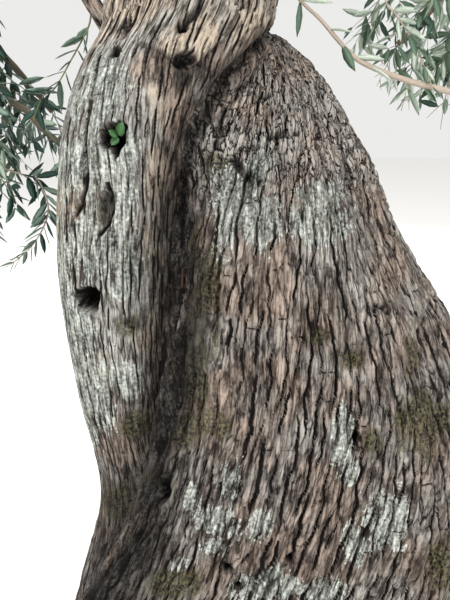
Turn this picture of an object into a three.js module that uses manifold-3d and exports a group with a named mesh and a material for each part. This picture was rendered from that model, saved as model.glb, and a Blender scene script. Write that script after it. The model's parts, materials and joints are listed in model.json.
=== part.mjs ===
// An old olive tree, in millimetres, +Z up, with the origin on the ground under its trunk.
// The trunk is four strands grown together, with a deep cleft between the left and right ones.
// Boughs rise from its fork and carry limbs, and each of them ends in a mass of foliage.
import * as THREE from "three";
import { mergeVertices } from "three/addons/utils/BufferGeometryUtils.js";
import Module from "manifold-3d";

const wasm = await Module();
wasm.setup();

// Gap kept between pieces that meet
const CLEARANCE = 0.3;
// How far solids that are fused or cut run past each other
const OVERRUN = 60;
const DEGREE = Math.PI / 180;
const GOLDEN_ANGLE = 137.5 * DEGREE;

// A station of a strand: height, centre x and y, half width and half depth of the section
const STRANDS = {
  left: {
    sides: 20,
    steps: 11,
    lobes: { count: 3, depth: 0.035, phase: 0.6, twist: 0.5 },
    ribs: { count: 5, depth: 0.03, phase: 2.4 },
    stations: [
      [0, -575, -60, 250, 260],
      [300, -556, -80, 172, 195],
      [600, -528, -100, 124, 165],
      [900, -556, -120, 125, 175],
      [1200, -567, -120, 142, 188],
      [1450, -542, -105, 149, 190],
      [1620, -470, -90, 172, 174],
      [1740, -408, -80, 156, 112],
      [1850, -402, -75, 128, 74],
      [1900, -402, -72, 50, 34],
    ],
  },
  right: {
    sides: 36,
    steps: 12,
    lobes: { count: 4, depth: 0.03, phase: 2.2, twist: 0.4 },
    ribs: { count: 9, depth: 0.022, phase: 1.2 },
    stations: [
      [0, 70, -20, 730, 600],
      [300, 30, -20, 630, 500],
      [600, -25, -20, 525, 440],
      [900, -94, -20, 416, 385],
      [1200, -185, 0, 300, 320],
      [1450, -249, 15, 236, 240],
      [1620, -292, 30, 168, 150],
      [1700, -330, 35, 110, 95],
      [1735, -350, 40, 40, 40],
    ],
  },
  ridge: {
    sides: 20,
    steps: 9,
    lobes: { count: 3, depth: 0.05, phase: 0.2, twist: 0.3 },
    ribs: { count: 5, depth: 0.045, phase: 0.5 },
    stations: [
      [0, -560, -410, 280, 215],
      [300, -500, -350, 250, 160],
      [600, -385, -300, 190, 124],
      [900, -312, -240, 124, 112],
      [1150, -300, -178, 92, 88],
      [1300, -306, -150, 44, 46],
    ],
  },
  rear: {
    sides: 28,
    steps: 10,
    lobes: { count: 3, depth: 0.06, phase: 1.1, twist: 0.7 },
    ribs: { count: 7, depth: 0.035, phase: 0.4 },
    stations: [
      [0, 40, 430, 480, 350],
      [300, 0, 370, 390, 285],
      [600, -50, 310, 335, 250],
      [900, -120, 270, 300, 230],
      [1200, -215, 250, 270, 210],
      [1450, -310, 225, 222, 180],
      [1640, -380, 205, 168, 160],
      [1760, -392, 195, 135, 120],
      [1800, -395, 190, 60, 50],
    ],
  },
};
// How far the ribs sway aside as they rise: the angle of a rib's wave, and the height of a sway
const SWAY = { angle: 1.1, height: 240 };
// Buttress roots swell the foot of each strand below this height
const FLARE = { height: 420, share: 0.1, roots: 5 };
// The height that a strand's twist is measured over
const FORK_HEIGHT = 1750;

// Hollows in the wood: centre and half sizes
const HOLLOWS = [
  { at: [-545, -300, 1480], size: [26, 60, 35] },
  { at: [-563, -312, 1347], size: [18, 60, 50] },
  { at: [-617, -306, 1160], size: [26, 60, 30] },
  { at: [-446, -150, 1108], size: [32, 90, 84] },
  { at: [-490, -225, 640], size: [20, 70, 36] },
];
const BURL = { at: [-408, -250, 1626], size: [36, 40, 24] };
const ELLIPSOID_RINGS = 4;

const LIMB_SIDES = 7;
const LIMB_STEPS = { collar: 4, bough: 8, limb: 5 };
// Share of a limb's girth that one taking off from it has
const BRANCHING_GIRTH = 0.74;
const TIP_RADIUS = { bough: 38, limb: 30 };
// The power that a limb's girth falls by along it
const TAPER = 0.8;
// How long a limb keeps to its headings where it leaves and arrives, as shares of its length
const BEND = { leaving: 0.38, arriving: 0.3 };
// How far a limb wanders off its smooth line, as a share of its length, and how often each way
const WANDER = { share: 0.03, across: 7.5, upward: 6 };
// How a limb enters a mass: how far out from the heart, and how much of its climb it keeps
const ENTRY = { depth: 0.86, climb: 0.6 };

const CROWN = {
  centre: [-150, 0],
  upper: { reach: 1100, height: 4120, size: [980, 880], vary: 200 },
  outer: {
    reach: 1950,
    height: 3120,
    size: [900, 820],
    apart: 19 * DEGREE,
    stagger: [-92, 230],
    vary: { reach: 160, height: 120 },
  },
  top: { at: [-190, 60, 4860], size: [900, 760] },
};
const SEEDS = { plan: 4127, mass: 1009, apart: 97 };

// The boughs: what each springs from, its first heading, girth and length kept in the trunk
const BOUGHS = [
  { name: "right", start: [-440, -85, 1440], heading: [0.4, 0.05, 0.92], radius: 100, collar: 0.22 },
  { name: "rear", start: [-360, 210, 1560], heading: [0.12, 0.42, 0.88], radius: 106, collar: 0.19 },
  { name: "rear_left", start: [-420, 155, 1540], heading: [-0.32, 0.42, 0.85], radius: 104, collar: 0.2 },
  { name: "left", start: [-488, -85, 1440], heading: [0.09, 0.02, 1], radius: 100, collar: 0.23 },
  { name: "front", from: "left", share: 0.27, heading: [0.25, -0.75, 0.6], radius: 78 },
];
// The way that each bough heads, seen from above
const AZIMUTHS = [4, 78, 141, 207, 284].map((degrees) => degrees * DEGREE);
// Where along a bough its two side limbs and the limb of the crown's top take off, and how much
// they keep of its heading
const FORKS = { low: 0.36, high: 0.5, top: 0.5, onward: 0.6 };

// Thin branches that hang down low by the trunk, with open drooping foliage
const LOW_BRANCHES = [
  {
    name: "low_left",
    start: [-540, 40, 1600],
    heading: [-0.5, 0.2, 0.85],
    end: [-850, 190, 1990],
    ending: [-0.6, 0.1, -0.8],
    radius: 24,
    tip: 14,
    mass: { at: [-950, 200, 1580], size: [330, 440], droop: 0.8 },
  },
  {
    name: "low_right",
    from: "right",
    share: 0.3,
    heading: [0.55, 0.35, 0.5],
    end: [215, 230, 2215],
    ending: [0.55, 0.05, -0.8],
    radius: 30,
    tip: 15,
    mass: { at: [310, 240, 1870], size: [360, 370], droop: 0.75 },
  },
];

// How a mass grows: shoots spread evenly round its heart, and on each shoot sprays of leaves,
// each drawn as one blade
const GROWTH = {
  droop: 0.14,
  climb: { slope: 0.45, share: 0.35 },
  sag: 0.9,
  stemReach: 0.66,
  stemBend: 0.45,
  shoots: 7,
  spread: [0.86, -0.5],
  turnVary: 0.6,
  takeOff: [0.1, 0.88],
  slant: 0.7,
  shootReach: [0.52, 0.68],
  bow: 0.14,
  sprays: 2,
  sprayPlaces: [0.3, 0.92],
  sprayLean: [0.5, 0.95],
  tipSpray: { at: 0.97, lean: 0.06 },
  sprayDroop: 0.6,
  sprayLength: [0.56, 0.68],
  sprayWidth: 0.38,
  sprayThickness: 0.035,
  shorter: [1, 0.82, 0.66, 0.5],
};
const TWIG_SIDES = 3;
const TWIG_STEPS = { stem: 3, shoot: 2 };
const STEM_GIRTH = 0.82;
const SHOOT_RADIUS = [12, 8];
// How far past the middle of its twig a spray's root lies
const SUNK = 1;
// Edges shorter than this, left by joining, are closed up
const SLIVER = 0.05;
// The first part of a shoot and of a spray, by their roots, where nothing is tested
const ROOT_SHARE = { shoot: 0.25, spray: 0.3 };
const MARGIN = { space: 4, limb: 12, spray: 8 };
// The balls that stand for a limb in tests of distance: their spacing, and how much they stand out
const BALLS = { spacing: 35, extra: 6 };

const BARK = new THREE.MeshStandardMaterial({ name: "bark", color: 0x75685c, roughness: 0.95 });
const FOLIAGE = new THREE.MeshStandardMaterial({ name: "foliage", color: 0x5d6f52, roughness: 0.6 });

const vector = ([x, y, z]) => new THREE.Vector3(x, y, z);
const mix = (from, to, share) => from + (to - from) * share;

// A generator of numbers from 0 to 1 that always gives the same run for the same seed
function seeded(seed) {
  let state = seed;
  return () => {
    state = (state * 48271) % 2147483647;
    return state / 2147483647;
  };
}

// A smooth value through evenly numbered stations, at a place counted in stations
function through(values, place) {
  const last = values.length - 1;
  const i = Math.min(Math.max(Math.floor(place), 0), last - 1);
  const t = place - i;
  const before = values[Math.max(i - 1, 0)];
  const after = values[Math.min(i + 2, last)];
  const [a, b] = [values[i], values[i + 1]];
  const [slopeA, slopeB] = [(b - before) / 2, (after - a) / 2];
  const t2 = t * t;
  const t3 = t2 * t;
  return a * (2 * t3 - 3 * t2 + 1) + slopeA * (t3 - 2 * t2 + t) + b * (3 * t2 - 2 * t3) + slopeB * (t3 - t2);
}

// The solid of a closed geometry
function solidOf(geometry) {
  geometry.deleteAttribute("normal");
  geometry.deleteAttribute("uv");
  const merged = mergeVertices(geometry, 1e-3);
  const mesh = new wasm.Mesh({
    numProp: 3,
    vertProperties: new Float32Array(merged.attributes.position.array),
    triVerts: new Uint32Array(merged.index.array),
  });
  return new wasm.Manifold(mesh);
}

// A capped round bar whose points are moved: place(share along, angle, share of the radius) gives each
function shapedBar(sides, steps, place) {
  const geometry = new THREE.CylinderGeometry(1, 1, 1, sides, steps);
  geometry.rotateX(Math.PI / 2);
  const position = geometry.attributes.position;
  for (let i = 0; i < position.count; i++) {
    const [x, y, z] = [position.getX(i), position.getY(i), position.getZ(i)];
    const point = place(z + 0.5, Math.atan2(y, x), Math.hypot(x, y));
    position.setXYZ(i, point.x, point.y, point.z);
  }
  return solidOf(geometry);
}

// The radius of a strand's section there, as a share of the plain ellipse's
function strandSwell({ lobes, ribs }, height, angle) {
  const turned = angle - (lobes.twist * height) / FORK_HEIGHT;
  const foot = Math.max(0, 1 - height / FLARE.height) ** 2;
  const roots = FLARE.share * foot * Math.cos(FLARE.roots * turned + lobes.phase);
  const sway = SWAY.angle * Math.sin(height / SWAY.height);
  const ribbing = ribs.depth * Math.cos(ribs.count * turned + ribs.phase + sway);
  return 1 + lobes.depth * Math.cos(lobes.count * turned + lobes.phase) + ribbing + roots;
}

// The point of a strand's surface at a place counted in stations
function strandPoint(strand, place, angle, share, grown) {
  const at = (column) => through(strand.stations.map((station) => station[column]), place);
  const height = at(0);
  const swell = strandSwell(strand, height, angle) * share;
  return new THREE.Vector3(
    at(1) + Math.cos(angle) * (at(3) * swell + grown * share),
    at(2) + Math.sin(angle) * (at(4) * swell + grown * share),
    height + grown,
  );
}

// One strand, from below the ground to its rounded top
function strandSolid(strand, grown) {
  const last = strand.stations.length - 1;
  return shapedBar(strand.sides, strand.steps, (along, angle, share) => {
    const point = strandPoint(strand, along * last, angle, share, grown);
    if (along < 1e-6) point.z -= OVERRUN;
    return point;
  });
}

// The line of a limb: a cubic curve that leaves and arrives on its headings, and wanders a little
function limbLine({ start, heading, end, ending, phase }) {
  const [from, to] = [vector(start), vector(end)];
  const length = from.distanceTo(to);
  const outward = vector(heading).normalize().multiplyScalar(length * BEND.leaving);
  const inward = vector(ending).normalize().multiplyScalar(-length * BEND.arriving);
  const curve = new THREE.CubicBezierCurve3(from, from.clone().add(outward), to.clone().add(inward), to);
  const across = to.clone().sub(from).cross(new THREE.Vector3(0, 0, 1)).normalize();
  const upward = across.clone().cross(to.clone().sub(from)).normalize();
  return (share) => {
    const amount = WANDER.share * length * Math.sin(Math.PI * share) ** 2;
    const point = curve.getPoint(share);
    point.addScaledVector(across, amount * Math.sin(WANDER.across * share + phase));
    return point.addScaledVector(upward, amount * Math.cos(WANDER.upward * share + phase));
  };
}

// The heading of a line at a share of its length
function headingOf(line, share) {
  const step = 0.002;
  const [low, high] = [Math.max(share - step, 0), Math.min(share + step, 1)];
  return line(high).sub(line(low)).normalize();
}

// The level direction square to a heading
function levelAcross(heading) {
  const flat = Math.hypot(heading.x, heading.y);
  if (flat < 0.02) return new THREE.Vector3(1, 0, 0);
  return new THREE.Vector3(-heading.y / flat, heading.x / flat, 0);
}

// Two directions square to a heading and to each other, the first one near to across
function squareTo(heading, across) {
  const side = across.clone().addScaledVector(heading, -across.dot(heading)).normalize();
  return [side, heading.clone().cross(side).normalize()];
}

const limbRadius = (limb, share) => mix(limb.radius, limb.tip, share ** TAPER);

// A tapering round bar along a line, between two shares of its length
function barAlong(line, radiusAt, sides, steps, [from, to] = [0, 1]) {
  const across = levelAcross(line(1).sub(line(0)));
  return shapedBar(sides, steps, (along, angle, share) => {
    const place = mix(from, to, along);
    const [side, other] = squareTo(headingOf(line, place), across);
    const radius = radiusAt(place) * share;
    const point = line(place).addScaledVector(side, Math.cos(angle) * radius);
    return point.addScaledVector(other, Math.sin(angle) * radius);
  });
}

// A limb, from where it leaves the trunk's collar, if it has one, to its tip
function limbSolid(limb, grown) {
  const radiusAt = (share) => limbRadius(limb, share) + grown;
  const first = limb.collar ? limb.collar + CLEARANCE / limb.length : 0;
  return barAlong(limb.line, radiusAt, LIMB_SIDES, limb.steps, [first, 1]);
}

// The lower end of a bough, which is part of the trunk
function collarSolid(bough, grown) {
  const end = bough.collar + grown / bough.length;
  const radiusAt = (share) => limbRadius(bough, share) + grown;
  return barAlong(bough.line, radiusAt, LIMB_SIDES, LIMB_STEPS.collar, [0, end]);
}

function ellipsoidSolid({ at, size }) {
  const geometry = new THREE.SphereGeometry(1, ELLIPSOID_RINGS * 2, ELLIPSOID_RINGS);
  geometry.scale(...size);
  geometry.translate(...at);
  return solidOf(geometry);
}

// The largest of a solid's separate bodies
function largest(solid) {
  const bodies = solid.decompose();
  return bodies.reduce((best, body) => (body.volume() > best.volume() ? body : best));
}

// The trunk with its collars, cut flat at the ground; grown is added to every radius
function trunkSolid(boughs, grown) {
  const strands = Object.values(STRANDS).map((strand) => strandSolid(strand, grown));
  const collars = boughs.map((bough) => collarSolid(bough, grown));
  const whole = wasm.Manifold.union([...strands, ...collars, ellipsoidSolid(BURL)]);
  if (grown) return whole;
  const hollowed = whole.subtract(wasm.Manifold.union(HOLLOWS.map(ellipsoidSolid)));
  return largest(hollowed.trimByPlane([0, 0, 1], 0));
}

// How far an ellipsoid of foliage reaches from its centre along a direction
function reachAlong([wide, tall], direction) {
  const flat = Math.hypot(direction.x, direction.y);
  return 1 / Math.hypot(flat / wide, direction.z / tall);
}

// A limb with its line worked out from its ends, headings and girths
function limbOf(limb) {
  const length = vector(limb.start).distanceTo(vector(limb.end));
  return { ...limb, length, line: limbLine(limb) };
}

// A limb to the near side of a mass, which it enters on its way to the heart
function limbTo(mass, { start, ...limb }) {
  const heart = vector(mass.at);
  const inward = heart.clone().sub(start).normalize();
  inward.z *= ENTRY.climb;
  inward.normalize();
  const end = heart.clone().addScaledVector(inward, -ENTRY.depth * reachAlong(mass.size, inward));
  return limbOf({ ...limb, start: start.toArray(), end: end.toArray(), ending: inward.toArray() });
}

// A place in the crown, from its azimuth, distance from the crown's middle and height
function crownPlace(azimuth, reach, height) {
  const [x, y] = CROWN.centre;
  return [x + reach * Math.cos(azimuth), y + reach * Math.sin(azimuth), height];
}

// The whole plan of the tree: its boughs, side limbs and masses, with the limb that each mass ends
function planTree() {
  const random = seeded(SEEDS.plan);
  const about = (value, vary) => value + vary * (random() - 0.5);
  const [boughs, limbs, masses] = [[], [], []];
  const named = (name) => boughs.find((bough) => bough.name === `bough_${name}`);
  const addMass = (name, at, size, droop = GROWTH.droop) => {
    const mass = { name: `foliage_${name}`, at, size, droop, seed: SEEDS.mass + SEEDS.apart * masses.length };
    masses.push(mass);
    return mass;
  };
  const addSideLimb = (name, mass, bough, share) => {
    const start = bough.line(share);
    const heading = headingOf(bough.line, share).multiplyScalar(FORKS.onward);
    heading.add(vector(mass.at).sub(start).normalize());
    const radius = limbRadius(bough, share) * BRANCHING_GIRTH;
    const shape = { heading: heading.toArray(), radius, tip: TIP_RADIUS.limb, phase: 6 * random() };
    mass.limb = limbTo(mass, { name: `limb_${name}`, start, ...shape, steps: LIMB_STEPS.limb });
    limbs.push(mass.limb);
  };

  BOUGHS.forEach(({ name, from, share, start, ...bough }, index) => {
    const { upper, outer } = CROWN;
    const azimuth = AZIMUTHS[index];
    const heart = crownPlace(azimuth, upper.reach, about(upper.height, upper.vary));
    const high = addMass(`${name}_upper`, heart, upper.size);
    const foot = from ? named(from).line(share) : vector(start);
    const shape = { ...bough, tip: TIP_RADIUS.bough, phase: 6 * random(), steps: LIMB_STEPS.bough };
    high.limb = limbTo(high, { name: `bough_${name}`, start: foot, ...shape });
    boughs.push(high.limb);
    ["a", "b"].forEach((letter, side) => {
      const turn = azimuth + (side ? 1 : -1) * outer.apart;
      const height = about(outer.height + outer.stagger[(index + side) % 2], outer.vary.height);
      const at = crownPlace(turn, about(outer.reach, outer.vary.reach), height);
      const low = addMass(`${name}_${letter}`, at, outer.size);
      addSideLimb(`${name}_${letter}`, low, high.limb, side ? FORKS.high : FORKS.low);
    });
  });
  addSideLimb("top", addMass("top", CROWN.top.at, CROWN.top.size), named("rear"), FORKS.top);
  LOW_BRANCHES.forEach(({ name, from, share, mass, ...branch }, index) => {
    const start = from ? named(from).line(share).toArray() : branch.start;
    const shape = { ...branch, start, phase: 1 + index, steps: LIMB_STEPS.limb };
    const hanging = addMass(name, mass.at, mass.size, mass.droop);
    hanging.limb = limbOf({ name: `branch_${name}`, ...shape });
    limbs.push(hanging.limb);
  });
  return { boughs, limbs, masses };
}

// Whether a ball at a point is in a mass's own space: inside its outline, and on its own side of the
// plane between it and every other mass
function inSpace(mass, masses, point, radius) {
  const offset = point.clone().sub(vector(mass.at));
  const [wide, tall] = mass.size;
  if (Math.hypot(offset.x / wide, offset.y / wide, offset.z / tall) > 1) return false;
  const power = (m) => point.distanceToSquared(vector(m.at)) - m.size[0] ** 2;
  const own = power(mass);
  return masses.every((other) => {
    if (other === mass) return true;
    const apart = 2 * vector(other.at).distanceTo(vector(mass.at));
    return (power(other) - own) / apart > radius + MARGIN.space;
  });
}

// Whether a ball at a point is clear of every limb
function clearOfLimbs(limbs, point, radius) {
  return limbs.every(({ balls }) =>
    balls.every(({ centre, reach }) => point.distanceTo(centre) > reach + radius + MARGIN.limb));
}

// A limb as a row of balls, for quick tests of distance
function ballsOf(limb) {
  const count = Math.ceil(limb.length / BALLS.spacing);
  return Array.from({ length: count + 1 }, (_, i) => {
    const share = i / count;
    return { centre: limb.line(share), reach: limbRadius(limb, share) + BALLS.extra };
  });
}

// A direction that leans off a heading by an angle, towards a turn about it
function leanFrom(heading, angle, turn) {
  const [side, other] = squareTo(heading, levelAcross(heading));
  const off = side.multiplyScalar(Math.cos(turn)).addScaledVector(other, Math.sin(turn));
  return heading.clone().multiplyScalar(Math.cos(angle)).addScaledVector(off, Math.sin(angle)).normalize();
}

// A quadratic line through three points
function bentLine(from, middle, to) {
  const curve = new THREE.QuadraticBezierCurve3(from, middle, to);
  return (share) => curve.getPoint(share);
}

// Whether a line, with a radius, keeps to the mass's space and clear of the limbs
function lineFits(mass, plan, line, radius, first) {
  const tests = 8;
  for (let i = 0; i <= tests; i++) {
    const share = mix(first, 1, i / tests);
    const point = line(share);
    if (!inSpace(mass, plan.masses, point, radius)) return false;
    if (!clearOfLimbs(plan.all, point, radius)) return false;
  }
  return true;
}

// The direction that a mass grows in: on from its limb's tip, through its heart
function growthAxis(mass) {
  const onward = vector(mass.at).sub(mass.limb.line(1)).normalize();
  onward.z = mix(onward.z, GROWTH.climb.slope, GROWTH.climb.share) - mass.droop * GROWTH.sag;
  return onward.normalize();
}

// The stem of a mass, from the tip of its limb towards the far side of its outline
function stemOf(mass, axis) {
  const from = mass.limb.line(1);
  const heading = headingOf(mass.limb.line, 1);
  const to = vector(mass.at).addScaledVector(axis, GROWTH.stemReach * reachAlong(mass.size, axis));
  const middle = from.clone().addScaledVector(heading, from.distanceTo(to) * GROWTH.stemBend);
  from.addScaledVector(heading, CLEARANCE);
  return bentLine(from, middle, to);
}

// A shoot that leaves the stem at a slant and reaches for the mass's outline
function shootOf(mass, axis, stem, index, random) {
  const cosine = mix(...GROWTH.spread, (index + 0.5) / GROWTH.shoots);
  const turn = index * GOLDEN_ANGLE + GROWTH.turnVary * (random() - 0.5);
  const out = leanFrom(axis, Math.acos(cosine), turn);
  const reach = reachAlong(mass.size, out) * mix(...GROWTH.shootReach, random());
  const rim = vector(mass.at).addScaledVector(out, reach);
  const [base, end] = [stem(0), stem(1)];
  const length = base.distanceTo(end);
  const offset = rim.clone().sub(base);
  const along = offset.dot(axis);
  const aside = Math.sqrt(Math.max(offset.lengthSq() - along * along, 0));
  const [first, last] = GROWTH.takeOff;
  const share = Math.min(Math.max((along - GROWTH.slant * aside) / length, first), last);
  const from = stem(share);
  const span = from.distanceTo(rim);
  const middle = from.clone().lerp(rim, 0.5).addScaledVector(axis, GROWTH.bow * span);
  middle.z += 0.5 * GROWTH.droop * span;
  rim.z -= 0.5 * GROWTH.droop * span;
  return { from, middle, rim };
}

// The sprays of a shoot: set round it in turn, with one at its tip
function spraysOf(mass, shoot, random) {
  const count = GROWTH.sprays;
  const first = 6 * random();
  return Array.from({ length: count + 1 }, (_, i) => {
    const share = i === count ? GROWTH.tipSpray.at : mix(...GROWTH.sprayPlaces, i / count);
    const lean = i === count ? GROWTH.tipSpray.lean : mix(...GROWTH.sprayLean, random());
    const heading = headingOf(shoot, share);
    const direction = leanFrom(heading, lean, first + i * GOLDEN_ANGLE);
    const across = heading.cross(direction).normalize();
    direction.z -= mass.droop * GROWTH.sprayDroop;
    direction.normalize();
    const length = mass.size[0] * mix(...GROWTH.sprayLength, random());
    return { at: shoot(share), direction, across, length };
  });
}

// Where a spray's blade lies: its root, length and width, and the ways that they run
function bladeFrame({ at, direction, across, length }, shorter) {
  const span = length * shorter;
  const width = span * GROWTH.sprayWidth;
  const [wide, thick] = squareTo(direction, across);
  return { root: at.clone().addScaledVector(direction, -SUNK), direction, span, wide, width, thick };
}

// Whether a blade keeps to the mass's space and clear of the limbs
function bladeFits(mass, plan, { root, direction, span, wide, width }) {
  return [ROOT_SHARE.spray, 0.5, 0.75, 1].every((share) => {
    const middle = root.clone().addScaledVector(direction, span * share);
    const spread = (width / 2) * (1 - Math.abs(share - 0.5) * 2);
    return [-1, 0, 1].every((side) => {
      const point = middle.clone().addScaledVector(wide, side * spread);
      return inSpace(mass, plan.masses, point, 0) && clearOfLimbs(plan.all, point, MARGIN.spray);
    });
  });
}

// A blade: a flat diamond below, with a low ridge above it
function bladeSolid({ root, direction, span, wide, width, thick }) {
  const geometry = new THREE.ConeGeometry(1, 1, 4);
  geometry.translate(0, 0.45, 0);
  const matrix = new THREE.Matrix4().makeBasis(
    direction.clone().multiplyScalar(span / 2),
    thick.clone().multiplyScalar(span * GROWTH.sprayThickness),
    wide.clone().multiplyScalar(-width / 2),
  );
  matrix.setPosition(root.clone().addScaledVector(direction, span / 2));
  geometry.applyMatrix4(matrix);
  return solidOf(geometry);
}

// One mass of foliage: a stem, the shoots that fit, and the sprays that fit on each
function massSolid(mass, plan) {
  const random = seeded(mass.seed);
  const axis = growthAxis(mass);
  const stem = stemOf(mass, axis);
  const stemRadius = [mass.limb.tip * STEM_GIRTH, SHOOT_RADIUS[0]];
  const pieces = [barAlong(stem, (share) => mix(...stemRadius, share), TWIG_SIDES, TWIG_STEPS.stem)];
  const addSprays = (shoot) => {
    spraysOf(mass, shoot, random).forEach((spray) => {
      const shares = GROWTH.shorter.filter((shorter) => bladeFits(mass, plan, bladeFrame(spray, shorter)));
      if (shares.length) pieces.push(bladeSolid(bladeFrame(spray, shares[0])));
    });
  };
  for (let i = 0; i < GROWTH.shoots; i++) {
    const { from, middle, rim } = shootOf(mass, axis, stem, i, random);
    const line = GROWTH.shorter
      .map((shorter) => bentLine(from, from.clone().lerp(middle, shorter), from.clone().lerp(rim, shorter)))
      .find((candidate) => lineFits(mass, plan, candidate, SHOOT_RADIUS[0], ROOT_SHARE.shoot));
    if (!line) continue;
    pieces.push(barAlong(line, (share) => mix(...SHOOT_RADIUS, share), TWIG_SIDES, TWIG_STEPS.shoot));
    addSprays(line);
  }
  addSprays(stem);
  return largest(wasm.Manifold.union(pieces).simplify(SLIVER));
}

// A named mesh of a solid
function meshOf(name, solid, material) {
  const { vertProperties, triVerts } = solid.getMesh();
  const geometry = new THREE.BufferGeometry();
  geometry.setAttribute("position", new THREE.BufferAttribute(new Float32Array(vertProperties), 3));
  geometry.setIndex(new THREE.BufferAttribute(new Uint32Array(triVerts), 1));
  geometry.computeVertexNormals();
  const mesh = new THREE.Mesh(geometry, material);
  mesh.name = name;
  return mesh;
}

const plan = planTree();
plan.all = [...plan.boughs, ...plan.limbs];
plan.all.forEach((limb) => {
  limb.balls = ballsOf(limb);
});

const tree = new THREE.Group();
tree.name = "olive_tree";
const rooted = plan.boughs.filter((bough) => bough.collar);
tree.add(meshOf("trunk", trunkSolid(rooted, 0), BARK));
// What the next limb is cut clear of
let taken = trunkSolid(rooted, CLEARANCE);
plan.all.forEach((limb) => {
  tree.add(meshOf(limb.name, largest(limbSolid(limb, 0).subtract(taken)), BARK));
  if (plan.boughs.includes(limb)) taken = taken.add(limbSolid(limb, CLEARANCE));
});
plan.masses.forEach((mass) => {
  tree.add(meshOf(mass.name, massSolid(mass, plan), FOLIAGE));
});

export default tree;
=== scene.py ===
"""An old olive tree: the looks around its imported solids, in metres, +Z up, on the ground at z = 0.

The strands of the trunk, the boughs and the side limbs follow the stations and rules of the solids,
and carry the relief of the bark. Each mass of foliage grows by the same seeded rule, carried on to
fine twigs and single leaves, in the same space.
"""

from __future__ import annotations

import json
import logging
import math
from collections.abc import Callable, Iterable
from dataclasses import dataclass, field
from enum import Enum

import bpy
import numpy as np
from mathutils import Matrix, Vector

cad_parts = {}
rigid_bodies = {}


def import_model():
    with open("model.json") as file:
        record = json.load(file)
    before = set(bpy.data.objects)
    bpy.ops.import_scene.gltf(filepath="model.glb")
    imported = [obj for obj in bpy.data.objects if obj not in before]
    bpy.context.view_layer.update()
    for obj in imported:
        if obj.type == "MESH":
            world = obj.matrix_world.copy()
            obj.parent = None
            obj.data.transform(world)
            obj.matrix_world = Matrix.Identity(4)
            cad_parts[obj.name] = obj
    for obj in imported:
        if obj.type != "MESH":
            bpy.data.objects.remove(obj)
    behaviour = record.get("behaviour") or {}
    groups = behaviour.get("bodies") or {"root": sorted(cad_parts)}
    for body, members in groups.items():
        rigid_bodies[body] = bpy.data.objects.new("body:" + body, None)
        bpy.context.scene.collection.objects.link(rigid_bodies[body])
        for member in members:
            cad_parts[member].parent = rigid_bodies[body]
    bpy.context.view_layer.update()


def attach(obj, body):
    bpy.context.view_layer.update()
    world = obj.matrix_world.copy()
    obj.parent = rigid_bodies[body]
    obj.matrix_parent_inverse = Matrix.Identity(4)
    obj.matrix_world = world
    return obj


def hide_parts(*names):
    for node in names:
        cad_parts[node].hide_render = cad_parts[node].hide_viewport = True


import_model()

log = logging.getLogger("olive_tree")

Array = np.ndarray
Colour = tuple[float, float, float]
Place = tuple[float, float, float]
Line = Callable[[Array], Array]

MM = 0.001
DEGREE = math.pi / 180
GOLDEN_ANGLE = 137.5 * DEGREE
BODY = "root"
FAR = 1.0


def unit(vectors: Array) -> Array:
    """Vectors made one long."""
    lengths = np.linalg.norm(vectors, axis=-1, keepdims=True)
    return vectors / np.maximum(lengths, 1e-12)


def mix(low: float, high: float, share: Array | float) -> Array | float:
    """The value at a share of the way from low to high."""
    return low + (high - low) * share


def ease(low: float, high: float, values: Array) -> Array:
    """A smooth step from 0 at low to 1 at high."""
    share = np.clip((values - low) / (high - low), 0, 1)
    return share * share * (3 - 2 * share)


def scatter(cells: Array, seed: int) -> Array:
    """A random number from 0 to 1 for each cell.

    Args:
        cells: Whole numbers, three to a cell.
        seed: Gives another set of numbers.

    Returns:
        One number for each cell.
    """
    mask = 0xFFFFFFFF
    mixed = (cells @ np.array([374761393, 668265263, 1911520717]) + seed * 144269504) & mask
    mixed = ((mixed ^ (mixed >> 13)) * 1274126177) & mask
    return ((mixed ^ (mixed >> 16)) & 0xFFFF) / 0xFFFF


def noise(points: Array, seed: int, octaves: int = 1) -> Array:
    """Smooth noise from about -1 to 1.

    Args:
        points: Places, measured in the size of the noise's lumps.
        seed: Gives another noise.
        octaves: How many noises, each half the size of the one before, are added up.

    Returns:
        One value for each place.
    """
    total = np.zeros(points.shape[:-1])
    for octave in range(octaves):
        scaled = points * 2**octave
        base = np.floor(scaled).astype(np.int64)
        part = scaled - base
        eased = part * part * (3 - 2 * part)
        value = np.zeros_like(total)
        for corner in np.ndindex(2, 2, 2):
            weight = np.prod(np.where(np.array(corner) == 1, eased, 1 - eased), axis=-1)
            value += weight * scatter(base + np.array(corner), seed + 17 * octave)
        total += (value * 2 - 1) / 2**octave
    return total


def through(values: Array, place: Array) -> Array:
    """Smooth values through evenly numbered stations.

    Args:
        values: One row for each station.
        place: Places counted in stations.

    Returns:
        One row for each place.
    """
    last = len(values) - 1
    first = np.clip(np.floor(place).astype(int), 0, last - 1)
    t = (place - first)[..., None]
    before, a, b, after = (values[np.clip(first + step, 0, last)] for step in (-1, 0, 1, 2))
    slope_a, slope_b = (b - before) / 2, (after - a) / 2
    t2, t3 = t**2, t**3
    value = a * (2 * t3 - 3 * t2 + 1) + slope_a * (t3 - 2 * t2 + t)
    return value + b * (3 * t2 - 2 * t3) + slope_b * (t3 - t2)


def smooth_union(first: Array, second: Array, radius: float) -> Array:
    """Two distances joined with a fillet of a radius."""
    share = np.clip(1 - np.abs(first - second) / radius, 0, 1)
    return np.minimum(first, second) - share * share * radius / 4


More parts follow.
